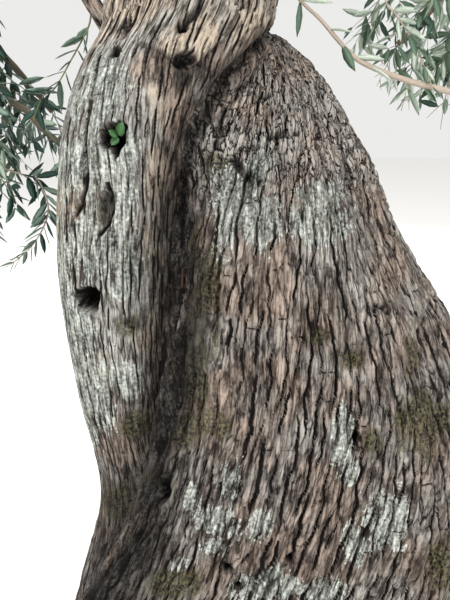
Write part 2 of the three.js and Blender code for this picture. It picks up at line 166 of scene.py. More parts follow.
class Chance:
    """A run of numbers from 0 to 1 that is the same for the same seed."""

    def __init__(self, seed: int) -> None:
        """Starts the run."""
        self.state = seed

    def next(self) -> float:
        """The next number of the run."""
        self.state = self.state * 48271 % 2147483647
        return self.state / 2147483647

    def about(self, value: float, vary: float) -> float:
        """A number near a value, within a width."""
        return value + vary * (self.next() - 0.5)

    def between(self, ends: tuple[float, float]) -> float:
        """A number between two ends."""
        return mix(*ends, self.next())


@dataclass(frozen=True)
class Eye:
    """The place that the tree is seen from, and its lens in pixels of the picture."""

    place: Place = (-0.33, -1.5, 1.5)
    pitch: float = 16 * DEGREE
    image: tuple[int, int] = (450, 600)
    focal: float = 601.7
    sensor: float = 36.0

    def axes(self) -> tuple[Array, Array, Array]:
        """The ways to the right, up and forward in the picture."""
        cosine, sine = math.cos(self.pitch), math.sin(self.pitch)
        return np.array([1.0, 0, 0]), np.array([0, sine, cosine]), np.array([0, cosine, -sine])

    def ray(self, x: float, y: float) -> Array:
        """The way from the eye through a pixel, one long along its forward axis."""
        right, up, forward = self.axes()
        wide, tall = self.image
        return right * (x - wide / 2) / self.focal + up * (tall / 2 - y) / self.focal + forward

    def look(self, points: Array, normals: Array) -> tuple[Array, Array, Array]:
        """Where points are seen in the picture.

        Args:
            points: Places in the world.
            normals: The ways that the surface faces there.

        Returns:
            Their pixels across and down, and how squarely they face the eye, from -1 to 1.
        """
        right, up, forward = self.axes()
        away = points - np.array(self.place)
        depth = np.maximum(away @ forward, 0.05)
        x = self.image[0] / 2 + self.focal * (away @ right) / depth
        y = self.image[1] / 2 - self.focal * (away @ up) / depth
        return x, y, -np.sum(unit(away) * normals, axis=-1)

    def at_depth(self, x: float, y: float, depth: float) -> Array:
        """The point behind a pixel at a distance along world +Y from the origin."""
        ray = self.ray(x, y)
        return np.array(self.place) + ray * (depth - self.place[1]) / ray[1]

    def camera(self) -> bpy.types.Object:
        """The scene's camera at this place."""
        bpy.ops.object.camera_add(location=self.place, rotation=(math.pi / 2 - self.pitch, 0, 0))
        camera = bpy.context.object
        camera.data.sensor_width = self.sensor
        camera.data.lens = self.focal / max(self.image) * self.sensor
        camera.data.clip_start = 0.02
        bpy.context.scene.camera = camera
        return camera


class Cover(Enum):
    """What grows on the bark."""

    LICHEN = "lichen"
    MOSS = "moss"
    SILVER = "silver"


@dataclass(frozen=True)
class Patch:
    """A patch of a cover, by its place and half sizes in pixels of the picture."""

    x: float
    y: float
    wide: float
    tall: float
    lean: float = 0.0


@dataclass(frozen=True)
class Mark:
    """A pit of the wood, by its place and half sizes in pixels, and its depth in metres.

    shade says how dark the painted shade inside it is, and ragged how uneven its rim is.
    """

    x: float
    y: float
    wide: float
    tall: float
    depth: float
    lean: float = 0.0
    shade: float = 1.0
    ragged: float = 0.25


PATCHES = {
    Cover.SILVER: (
        Patch(92, 240, 52, 190), Patch(128, 210, 26, 120), Patch(104, 80, 34, 66, 20),
        Patch(148, 240, 40, 200), Patch(185, 15, 95, 70),
    ),
    Cover.LICHEN: (
        Patch(98, 100, 30, 52, 22), Patch(92, 165, 34, 44), Patch(118, 176, 24, 60),
        Patch(92, 243, 36, 46), Patch(128, 262, 22, 44), Patch(74, 330, 18, 62, -14),
        Patch(92, 392, 20, 52, -14), Patch(127, 383, 25, 19, 20), Patch(232, 208, 21, 50, 10),
        Patch(256, 176, 14, 32, 14), Patch(262, 222, 20, 26), Patch(317, 220, 34, 23),
        Patch(318, 196, 26, 13), Patch(344, 440, 13, 36), Patch(350, 470, 10, 14),
        Patch(230, 480, 12, 24, 8), Patch(214, 520, 25, 15, 35), Patch(194, 498, 10, 14, 20),
        Patch(178, 562, 10, 8), Patch(262, 524, 13, 19, 15), Patch(216, 546, 14, 9),
        Patch(382, 520, 25, 34, 10), Patch(355, 540, 14, 22, 8), Patch(262, 585, 38, 20),
        Patch(322, 590, 22, 14),
    ),
    Cover.MOSS: (
        Patch(205, 300, 17, 62, 8), Patch(196, 380, 19, 56, 12), Patch(186, 430, 18, 32, 20),
        Patch(214, 424, 20, 18), Patch(196, 250, 8, 40), Patch(222, 165, 16, 12, 50),
        Patch(320, 335, 15, 9), Patch(352, 360, 13, 9), Patch(408, 356, 11, 18),
        Patch(420, 425, 30, 32), Patch(372, 440, 12, 16), Patch(118, 505, 20, 25),
        Patch(158, 478, 22, 20), Patch(175, 583, 34, 17), Patch(128, 325, 14, 13),
        Patch(142, 424, 32, 18, -15), Patch(440, 560, 14, 30),
    ),
}


@dataclass(frozen=True)
class Crease:
    """A long groove of the wood, by its line in pixels, and its half width in pixels.

    A station of the line is its place, and how far its painted shade reaches to the left and right of it;
    shade says how dark that painted shade is.
    """

    line: tuple[tuple[float, ...], ...]
    wide: float
    depth: float
    shade: float
    ragged: float = 1.2


# Each crease is darkened along it with painted shade, reaching as far to each side as its stations say
CREASES = (
    Crease(
        ((276, 29, 9, 6), (254, 48, 12, 8), (230, 71, 16, 8), (216, 94, 20, 9), (204, 117, 24, 10),
         (195, 134, 27, 10), (190, 153, 31, 12), (186, 175, 38, 14), (184, 196, 44, 18), (181, 236, 52, 30),
         (180, 264, 54, 36), (183, 300, 56, 38), (184, 348, 54, 36), (180, 376, 50, 30), (178, 399, 48, 28),
         (164, 444, 40, 28), (158, 475, 26, 30), (148, 505, 14, 38), (139, 534, 10, 48), (114, 563, 10, 66),
         (96, 585, 10, 84)),
        wide=4.5, depth=0.014, shade=0.97,
    ),
    Crease(((138, 44, 2, 2), (158, 50, 22, 3), (174, 62, 30, 4), (187, 71, 34, 4), (200, 62, 24, 4),
            (222, 42, 3, 2)), wide=1.6, depth=0.005, shade=0.7, ragged=0.6),
    Crease(((90, 100, 0, 1), (85, 125, 0, 2), (83, 149, 0, 2), (85, 165, 0, 2), (86, 181, 1, 2),
            (81, 203, 1, 3), (76, 216, 0, 1)), wide=2.0, depth=0.012, shade=1.4, ragged=0.6),
    Crease(((108, 183, 1, 0), (113, 200, 3, 0), (113, 213, 5, 0), (107, 227, 6, 0), (101, 235, 3, 0)),
           wide=2.0, depth=0.01, shade=1.3, ragged=0.4),
    Crease(((204, -12, 4, 3), (199, 8, 5, 4), (190, 20, 6, 5), (181, 30, 6, 6)),
           wide=2.6, depth=0.016, shade=0.9),
)

# Each pit is darkened inside with painted shade, as dark as its shade says
MARKS = (
    Mark(116, 138, 12, 19, 0.075, lean=8),
    Mark(106, 141, 5, 9, 0.03),
    Mark(106, 207, 9, 25, 0.03, lean=6, shade=0.45),
    Mark(88, 298, 13, 15, 0.06, lean=-10),
    Mark(185, 60, 14, 10, 0.02, ragged=0.12),
    Mark(184, 28, 7, 6, 0.022, lean=30),
    Mark(126, 27, 3.5, 15, 0.022, lean=22),
    Mark(115, 52, 5, 8, 0.02, lean=30),
    Mark(240, 168, 20, 5, 0.02, lean=42, shade=0.8, ragged=0.6),
    Mark(278, 139, 20, 4, 0.01, lean=-6, shade=0.8, ragged=0.6),
    Mark(265, 99, 8, 5, 0.022, lean=-20, shade=0.8),
    Mark(380, 310, 10, 3, 0.012, lean=38, ragged=0.4),
    Mark(356, 437, 4, 9, 0.05),
    Mark(290, 558, 6, 6, 0.03),
    Mark(228, 567, 5, 6, 0.028),
    Mark(238, 585, 4, 4, 0.02),
    Mark(165, 490, 8, 16, 0.04, lean=18),
    Mark(177, 298, 11, 36, 0.008, shade=0.96),
)


@dataclass(frozen=True)
class BarkStyle:
    """How bark cracks: sizes in metres. blocky is the height above which its cracks are short."""

    spacing: float
    run: tuple[float, float]
    width: float
    depth: float
    wobble: float
    cross: float
    silver: float
    flute: float = 0.0045
    swell: float = 0.003
    fibre: float = 0.0009
    blocky: float = 9.0


@dataclass(frozen=True)
class Strand:
    """One strand of the trunk: an upright form with its own stations, as in the solids.

    A station is its height, centre x and y, half width and half depth, in millimetres. lobes are
    count, depth, phase and twist, and ribs count, depth and phase. slant is the grain's lean at
    heights, as a share of its rise, at the front of the strand.
    """

    name: str
    lobes: tuple[int, float, float, float]
    ribs: tuple[int, float, float]
    stations: tuple[tuple[float, ...], ...]
    style: BarkStyle
    columns: int
    rows: int
    fine: tuple[float, float]
    front: float = 0.45
    slant: tuple[tuple[float, ...], tuple[float, ...]] = ((0.0, 2.0), (0.0, 0.0))

    SWAY = (1.1, 0.24)
    FLARE = (0.42, 0.1, 5)
    FORK_HEIGHT = 1.75
    UPRIGHT = 1.0
    TABLE = 400

    def at(self, place: Array) -> Array:
        """The stations' values, in metres, at places counted in stations."""
        return through(np.array(self.stations) * MM, place)

    def place_at(self, height: Array) -> Array:
        """The place, counted in stations, at a height."""
        places = np.linspace(0, len(self.stations) - 1, self.TABLE)
        return np.interp(height, self.at(places)[:, 0], places)

    def top(self) -> float:
        """The height of the strand's top."""
        return self.stations[-1][0] * MM

    def swell(self, height: Array, angle: Array) -> Array:
        """The size of the section at an angle, as a share of its plain ellipse."""
        count, depth, phase, twist = self.lobes
        flare_height, flare_share, roots = self.FLARE
        turned = angle - twist * height / self.FORK_HEIGHT
        foot = np.maximum(0, 1 - height / flare_height) ** 2
        swelling = flare_share * foot * np.cos(roots * turned + phase)
        ribs, rib_depth, rib_phase = self.ribs
        sway = self.SWAY[0] * np.sin(height / self.SWAY[1])
        ribbing = rib_depth * np.cos(ribs * turned + rib_phase + sway)
        return 1 + depth * np.cos(count * turned + phase) + ribbing + swelling

    def surface(self, height: Array, angle: Array) -> Array:
        """Points of the plain surface.

        Args:
            height: Heights above the ground.
            angle: Angles round the strand.

        Returns:
            One point for each pair.
        """
        values = self.at(self.place_at(height))
        swell = self.swell(height, angle)
        x = values[..., 1] + np.cos(angle) * values[..., 3] * swell
        y = values[..., 2] + np.sin(angle) * values[..., 4] * swell
        return np.stack([x, y, height], axis=-1)

    def distance(self, points: Array) -> Array:
        """About how far points lie outside the strand."""
        height = points[..., 2]
        values = self.at(self.place_at(height))
        x, y = points[..., 0] - values[..., 1], points[..., 1] - values[..., 2]
        wide, deep = values[..., 3], values[..., 4]
        angle = np.arctan2(y / deep, x / wide)
        share = np.hypot(x / wide, y / deep) / self.swell(height, angle)
        side = np.hypot(x, y) * (1 - 1 / np.maximum(share, 0.05))
        return side + np.maximum(height - self.top(), 0)

    def heights(self) -> Array:
        """The heights of the rows: close together where the strand is seen from near by."""
        low, high = self.fine
        top = self.top()
        spans = np.array([low, high - low, top - high])
        weights = spans * np.array([0.45, 1.0, 0.6])
        counts = np.maximum((self.rows * weights / weights.sum()).astype(int), 1)
        ends = zip((0, low, high), (low, high, top), counts)
        parts = [np.linspace(start, end, count, endpoint=False) for start, end, count in ends]
        return np.append(np.concatenate(parts), top)

    def angles(self) -> Array:
        """The angles of the columns, from the seam at the back, closest together at the front."""
        share = np.arange(self.columns + 1) / self.columns
        return math.pi / 2 + 2 * math.pi * share + self.front * np.sin(2 * math.pi * share)

    def grid(self) -> tuple[Array, Array]:
        """The plain surface as a grid, and how far the grain has leaned aside at each point."""
        heights = self.heights()
        height, angle = np.meshgrid(heights, self.angles(), indexing="ij")
        lean = np.interp(heights, *self.slant)
        drift = np.concatenate([[0], np.cumsum((lean[1:] + lean[:-1]) / 2 * np.diff(heights))])
        drift = drift - np.interp(self.UPRIGHT, heights, drift)
        front = np.sin(np.linspace(0, math.pi, self.columns + 1)) ** 2
        return self.surface(height, angle), drift[:, None] * front


SILVER_BARK = BarkStyle(
    spacing=0.026, run=(0.04, 0.22), width=0.0016, depth=0.0035, wobble=0.0024, cross=0.6, silver=1.0,
)
PLATED_BARK = BarkStyle(
    spacing=0.032, run=(0.08, 0.4), width=0.0027, depth=0.013, wobble=0.005, cross=0.2, silver=0.0,
    blocky=1.4,
)
REAR_BARK = BarkStyle(
    spacing=0.034, run=(0.08, 0.4), width=0.005, depth=0.011, wobble=0.007, cross=0.08, silver=0.3,
)
BOUGH_BARK = BarkStyle(
    spacing=0.017, run=(0.03, 0.12), width=0.0022, depth=0.005, wobble=0.003, cross=0.04, silver=0.3,
    flute=0.004,
)
LIMB_BARK = BarkStyle(
    spacing=0.03, run=(0.1, 0.3), width=0.006, depth=0.004, wobble=0.006, cross=0.1, silver=0.7,
    flute=0.002,
)

STRANDS = (
    Strand(
        name="trunk_left_strand",
        lobes=(3, 0.035, 0.6, 0.5),
        ribs=(5, 0.03, 2.4),
        stations=(
            (0, -575, -60, 250, 260), (300, -556, -80, 172, 195), (600, -528, -100, 124, 165),
            (900, -556, -120, 125, 175), (1200, -567, -120, 142, 188), (1450, -542, -105, 149, 190),
            (1620, -470, -90, 172, 174), (1740, -408, -80, 156, 112), (1850, -402, -75, 128, 74),
            (1900, -402, -72, 50, 34),
        ),
        style=SILVER_BARK,
        columns=236,
        rows=400,
        fine=(0.5, 1.8),
        slant=((1.3, 1.45, 1.6, 1.7, 1.8), (0.0, -0.3, -0.4, -0.1, 0.4)),
    ),
    Strand(
        name="trunk_right_strand",
        lobes=(4, 0.03, 2.2, 0.4),
        ribs=(9, 0.022, 1.2),
        stations=(
            (0, 70, -20, 730, 600), (300, 30, -20, 630, 500), (600, -25, -20, 525, 440),
            (900, -94, -20, 416, 385), (1200, -185, 0, 300, 320), (1450, -249, 15, 236, 240),
            (1620, -292, 30, 168, 150), (1700, -330, 35, 110, 95), (1735, -350, 40, 40, 40),
        ),
        style=PLATED_BARK,
        columns=350,
        rows=280,
        fine=(0.52, 1.7),
        front=0.55,
        slant=((0.0, 0.5, 0.9, 1.2, 1.5, 1.7), (0.6, 0.55, 0.4, 0.3, 0.45, 0.7)),
    ),
    Strand(
        name="trunk_ridge_strand",
        lobes=(3, 0.05, 0.2, 0.3),
        ribs=(5, 0.045, 0.5),
        stations=(
            (0, -560, -410, 280, 215), (300, -500, -350, 250, 160), (600, -385, -300, 190, 124),
            (900, -312, -240, 124, 112), (1150, -300, -178, 92, 88), (1300, -306, -150, 44, 46),
        ),
        style=PLATED_BARK,
        columns=210,
        rows=250,
        fine=(0.5, 1.25),
    ),
    Strand(
        name="trunk_rear_strand",
        lobes=(3, 0.06, 1.1, 0.7),
        ribs=(7, 0.035, 0.4),
        stations=(
            (0, 40, 430, 480, 350), (300, 0, 370, 390, 285), (600, -50, 310, 335, 250),
            (900, -120, 270, 300, 230), (1200, -215, 250, 270, 210), (1450, -310, 225, 222, 180),
            (1640, -380, 205, 168, 160), (1760, -392, 195, 135, 120), (1800, -395, 190, 60, 50),
        ),
        style=REAR_BARK,
        columns=230,
        rows=170,
        fine=(0.3, 1.7),
        front=-0.4,
    ),
)
# How wide a fillet joins each pair of strands
STRAND_FILLETS = {
    ("trunk_left_strand", "trunk_right_strand"): 0.03,
    ("trunk_left_strand", "trunk_ridge_strand"): 0.05,
    ("trunk_left_strand", "trunk_rear_strand"): 0.09,
    ("trunk_ridge_strand", "trunk_right_strand"): 0.16,
    ("trunk_right_strand", "trunk_rear_strand"): 0.14,
    ("trunk_ridge_strand", "trunk_rear_strand"): 0.05,
}
LIMB_FILLET = 0.07


def heading_of(line: Line, share: Array | float) -> Array:
    """The heading of a line at a share of its length."""
    step = 0.002
    low, high = np.maximum(np.asarray(share) - step, 0), np.minimum(np.asarray(share) + step, 1)
    return unit(line(high) - line(low))


def level_across(heading: Array) -> Array:
    """The level direction square to a heading."""
    flat = math.hypot(heading[0], heading[1])
    if flat < 0.02:
        return np.array([1.0, 0, 0])
    return np.array([-heading[1] / flat, heading[0] / flat, 0])


def square_to(heading: Array, across: Array) -> tuple[Array, Array]:
    """Two directions square to a heading and to each other, the first one near to across."""
    side = unit(across - heading * np.sum(across * heading, axis=-1, keepdims=True))
    return side, unit(np.cross(heading, side))


def lean_from(heading: Array, angle: float, turn: float) -> Array:
    """A direction that leans off a heading by an angle, towards a turn about it."""
    side, other = square_to(heading, level_across(heading))
    off = side * math.cos(turn) + other * math.sin(turn)
    return unit(heading * math.cos(angle) + off * math.sin(angle))


def bent_line(start: Array, middle: Array, end: Array) -> Line:
    """A quadratic line through its three points."""

    def line(share: Array | float) -> Array:
        """The point at a share of the line."""
        t = np.asarray(share, float)[..., None]
        return start * (1 - t) ** 2 + middle * 2 * t * (1 - t) + end * t**2

    return line


@dataclass
class Limb:
    """A bough, side limb or thin branch: a tapering round bar along a wandering cubic line."""

    name: str
    start: Array
    heading: Array
    end: Array
    ending: Array
    radius: float
    tip: float
    phase: float
    length: float = field(init=False)

    TAPER = 0.8
    BEND = (0.38, 0.3)
    WANDER = (0.03, 7.5, 6.0)
    BALL_SPACING = 0.035
    BALL_EXTRA = 0.006

    def __post_init__(self) -> None:
        """Works out the length between its ends."""
        self.length = float(np.linalg.norm(self.end - self.start))

    def line(self, share: Array | float) -> Array:
        """The point of its middle line at a share of its length."""
        t = np.asarray(share, float)[..., None]
        leaving, arriving = self.BEND
        first = self.start + unit(self.heading) * self.length * leaving
        second = self.end - unit(self.ending) * self.length * arriving
        whole = self.end - self.start
        across = unit(np.cross(whole, [0, 0, 1]))
        upward = unit(np.cross(across, whole))
        wander, aside, up = self.WANDER
        amount = wander * self.length * np.sin(math.pi * t) ** 2
        curve = self.start * (1 - t) ** 3 + first * 3 * t * (1 - t) ** 2
        curve = curve + second * 3 * t**2 * (1 - t) + self.end * t**3
        curve = curve + across * amount * np.sin(aside * t + self.phase)
        return curve + upward * amount * np.cos(up * t + self.phase)

    def radius_at(self, share: Array | float) -> Array | float:
        """Its radius at a share of its length."""
        return mix(self.radius, self.tip, np.asarray(share) ** self.TAPER)

    def balls(self) -> tuple[Array, Array]:
        """The limb as a row of balls: their centres and radii."""
        count = math.ceil(self.length / self.BALL_SPACING)
        share = np.arange(count + 1) / count
        return self.line(share), self.radius_at(share) + self.BALL_EXTRA

    def distance(self, points: Array) -> Array:
        """About how far points lie outside the limb."""
        share = np.linspace(0, 1, 60)
        centres, radii = self.line(share), self.radius_at(share)
        nearest = np.full(points.shape[:-1], FAR)
        for centre, radius in zip(centres, radii):
            nearest = np.minimum(nearest, np.linalg.norm(points - centre, axis=-1) - radius)
        return nearest

    def grid(self, shares: Array, columns: int) -> tuple[Array, Array]:
        """Its plain surface as a grid with a row at each share, and a straight grain."""
        line, radius = self.line(shares), self.radius_at(shares)
        across = level_across(self.line(1.0) - self.line(0.0))
        side, other = square_to(heading_of(self.line, shares), across)
        angle = 2 * math.pi * np.arange(columns + 1) / columns
        ring = side[:, None] * np.cos(angle)[None, :, None] + other[:, None] * np.sin(angle)[None, :, None]
        return line[:, None] + ring * radius[:, None, None], np.zeros((len(shares), columns + 1))


@dataclass
class Mass:
    """A mass of foliage: an upright ellipsoid of space that it keeps to, and the limb that carries it."""

    name: str
    at: Array
    size: tuple[float, float]
    droop: float
    seed: int
    limb: Limb | None = None

    def reach_along(self, direction: Array) -> float:
        """How far its space reaches from its heart along a direction."""
        wide, tall = self.size
        return 1 / math.hypot(math.hypot(direction[0], direction[1]) / wide, direction[2] / tall)


@dataclass
class Plan:
    """The plan of the tree, as in the solids: its boughs, side limbs and masses of foliage."""

    seed: int = 4127
    mass_seed: int = 1009
    seeds_apart: int = 97
    droop: float = 0.14
    azimuths: tuple[float, ...] = (4, 78, 141, 207, 284)
    forks: tuple[float, float, float] = (0.36, 0.5, 0.5)
    onward: float = 0.6
    entry: tuple[float, float] = (0.86, 0.6)
    girth: float = 0.74
    tips: tuple[float, float] = (0.038, 0.03)
    boughs: list[Limb] = field(default_factory=list)
    limbs: list[Limb] = field(default_factory=list)
    masses: list[Mass] = field(default_factory=list)

    CENTRE = (-0.15, 0.0)
    UPPER = {"reach": 1.1, "height": 4.12, "size": (0.98, 0.88), "vary": 0.2}
    OUTER = {"reach": 1.95, "height": 3.12, "size": (0.9, 0.82), "apart": 19 * DEGREE}
    STAGGER = (-0.092, 0.23)
    VARY = {"reach": 0.16, "height": 0.12}
    TOP = {"at": (-0.19, 0.06, 4.86), "size": (0.9, 0.76)}
    # Each bough: its name, start, first heading and girth
    BOUGHS = (
        ("right", (-0.44, -0.085, 1.44), (0.4, 0.05, 0.92), 0.1),
        ("rear", (-0.36, 0.21, 1.56), (0.12, 0.42, 0.88), 0.106),
        ("rear_left", (-0.42, 0.155, 1.54), (-0.32, 0.42, 0.85), 0.104),
        ("left", (-0.488, -0.085, 1.44), (0.09, 0.02, 1), 0.1),
        ("front", None, (0.25, -0.75, 0.6), 0.078),
    )
    FRONT_FORK = 0.27
    LOW_RIGHT_FORK = 0.3

    def __post_init__(self) -> None:
        """Lays out the limbs and masses."""
        chance = Chance(self.seed)
        for index, (name, start, heading, radius) in enumerate(self.BOUGHS):
            self.add_bough(chance, index, name, start, heading, radius)
        top = self.add_mass("top", np.array(self.TOP["at"]), self.TOP["size"])
        self.add_side_limb(chance, "top", top, self.named("rear"), self.forks[2])
        self.add_low_branches()

    def named(self, name: str) -> Limb:
        """The bough of that name."""
        return next(bough for bough in self.boughs if bough.name == f"bough_{name}")

    def add_mass(self, name: str, at: Array, size: tuple[float, float], droop: float | None = None) -> Mass:
        """Adds a mass of foliage with a seed of its own."""
        seed = self.mass_seed + self.seeds_apart * len(self.masses)
        mass = Mass(f"foliage_{name}", at, size, self.droop if droop is None else droop, seed)
        self.masses.append(mass)
        return mass

    def limb_to(self, mass: Mass, name: str, start: Array, heading: Array, radius: float, tip: float,
                phase: float) -> Limb:
        """A limb to the near side of a mass, which it enters on its way to the heart."""
        depth, climb = self.entry
        inward = unit(mass.at - start)
        inward[2] *= climb
        inward = unit(inward)
        end = mass.at - inward * depth * mass.reach_along(inward)
        mass.limb = Limb(name, start, heading, end, inward, radius, tip, phase)
        return mass.limb

    def add_side_limb(self, chance: Chance, name: str, mass: Mass, bough: Limb, share: float) -> None:
        """Adds a side limb that leaves a bough for a mass."""
        start = bough.line(share)
        heading = heading_of(bough.line, share) * self.onward + unit(mass.at - start)
        radius = float(bough.radius_at(share)) * self.girth
        phase = 6 * chance.next()
        self.limbs.append(self.limb_to(mass, f"limb_{name}", start, heading, radius, self.tips[1], phase))

    def crown_place(self, azimuth: float, reach: float, height: float) -> Array:
        """A place in the crown, from its azimuth, distance from the crown's middle and height."""
        x, y = self.CENTRE
        return np.array([x + reach * math.cos(azimuth), y + reach * math.sin(azimuth), height])

    def add_bough(self, chance: Chance, index: int, name: str, start: Place | None, heading: Place,
                  radius: float) -> None:
        """Adds a bough with its own mass and its two side limbs."""
        azimuth = self.azimuths[index] * DEGREE
        upper, outer = self.UPPER, self.OUTER
        heart = self.crown_place(azimuth, upper["reach"], chance.about(upper["height"], upper["vary"]))
        high = self.add_mass(f"{name}_upper", heart, upper["size"])
        foot = np.array(start) if start else self.named("left").line(self.FRONT_FORK)
        phase = 6 * chance.next()
        bough = self.limb_to(high, f"bough_{name}", foot, np.array(heading), radius, self.tips[0], phase)
        self.boughs.append(bough)
        for side, letter in enumerate("ab"):
            turn = azimuth + (1 if side else -1) * outer["apart"]
            stagger = self.STAGGER[(index + side) % 2]
            height = chance.about(outer["height"] + stagger, self.VARY["height"])
            reach = chance.about(outer["reach"], self.VARY["reach"])
            low = self.add_mass(f"{name}_{letter}", self.crown_place(turn, reach, height), outer["size"])
            self.add_side_limb(chance, f"{name}_{letter}", low, bough, self.forks[side])

    def add_low_branches(self) -> None:
        """Adds the two thin branches that hang beside the trunk, with their masses."""
        left = self.add_mass("low_left", np.array([-0.95, 0.2, 1.58]), (0.33, 0.44), 0.8)
        left.limb = Limb("branch_low_left", np.array([-0.54, 0.04, 1.6]), np.array([-0.5, 0.2, 0.85]),
                         np.array([-0.85, 0.19, 1.99]), np.array([-0.6, 0.1, -0.8]), 0.024, 0.014, 1)
        right = self.add_mass("low_right", np.array([0.31, 0.24, 1.87]), (0.36, 0.37), 0.75)
        start = self.named("right").line(self.LOW_RIGHT_FORK)
        right.limb = Limb("branch_low_right", start, np.array([0.55, 0.35, 0.5]),
                          np.array([0.215, 0.23, 2.215]), np.array([0.55, 0.05, -0.8]), 0.03, 0.015, 2)
        self.limbs += [left.limb, right.limb]

    def all_limbs(self) -> list[Limb]:
        """The boughs and the side limbs."""
        return self.boughs + self.limbs


def cells(points: Array, seed: int) -> tuple[Array, Array]:
    """A pattern of uneven cells on a flat grain.

    Args:
        points: Places, two numbers each, measured in the size of a cell.
        seed: Gives another pattern.

    Returns:
        The random number of the cell that each place is in, and how far it is from the cell's border.
    """
    base = np.floor(points).astype(np.int64)
    first = np.full(points.shape[:-1], 9.0)
    second = first.copy()
    number = np.zeros_like(first)
    for shift in np.ndindex(3, 3):
        cell = base + np.array(shift) - 1
        known = np.concatenate([cell, np.zeros_like(cell[..., :1])], axis=-1)
        seat = np.stack([scatter(known, seed), scatter(known, seed + 1)], axis=-1)
        gap = np.linalg.norm(cell + seat - points, axis=-1)
        nearer = gap < first
        second = np.where(nearer, first, np.minimum(second, gap))
        number = np.where(nearer, scatter(known, seed + 2), number)
        first = np.minimum(first, gap)
    return number, (second - first) / 2


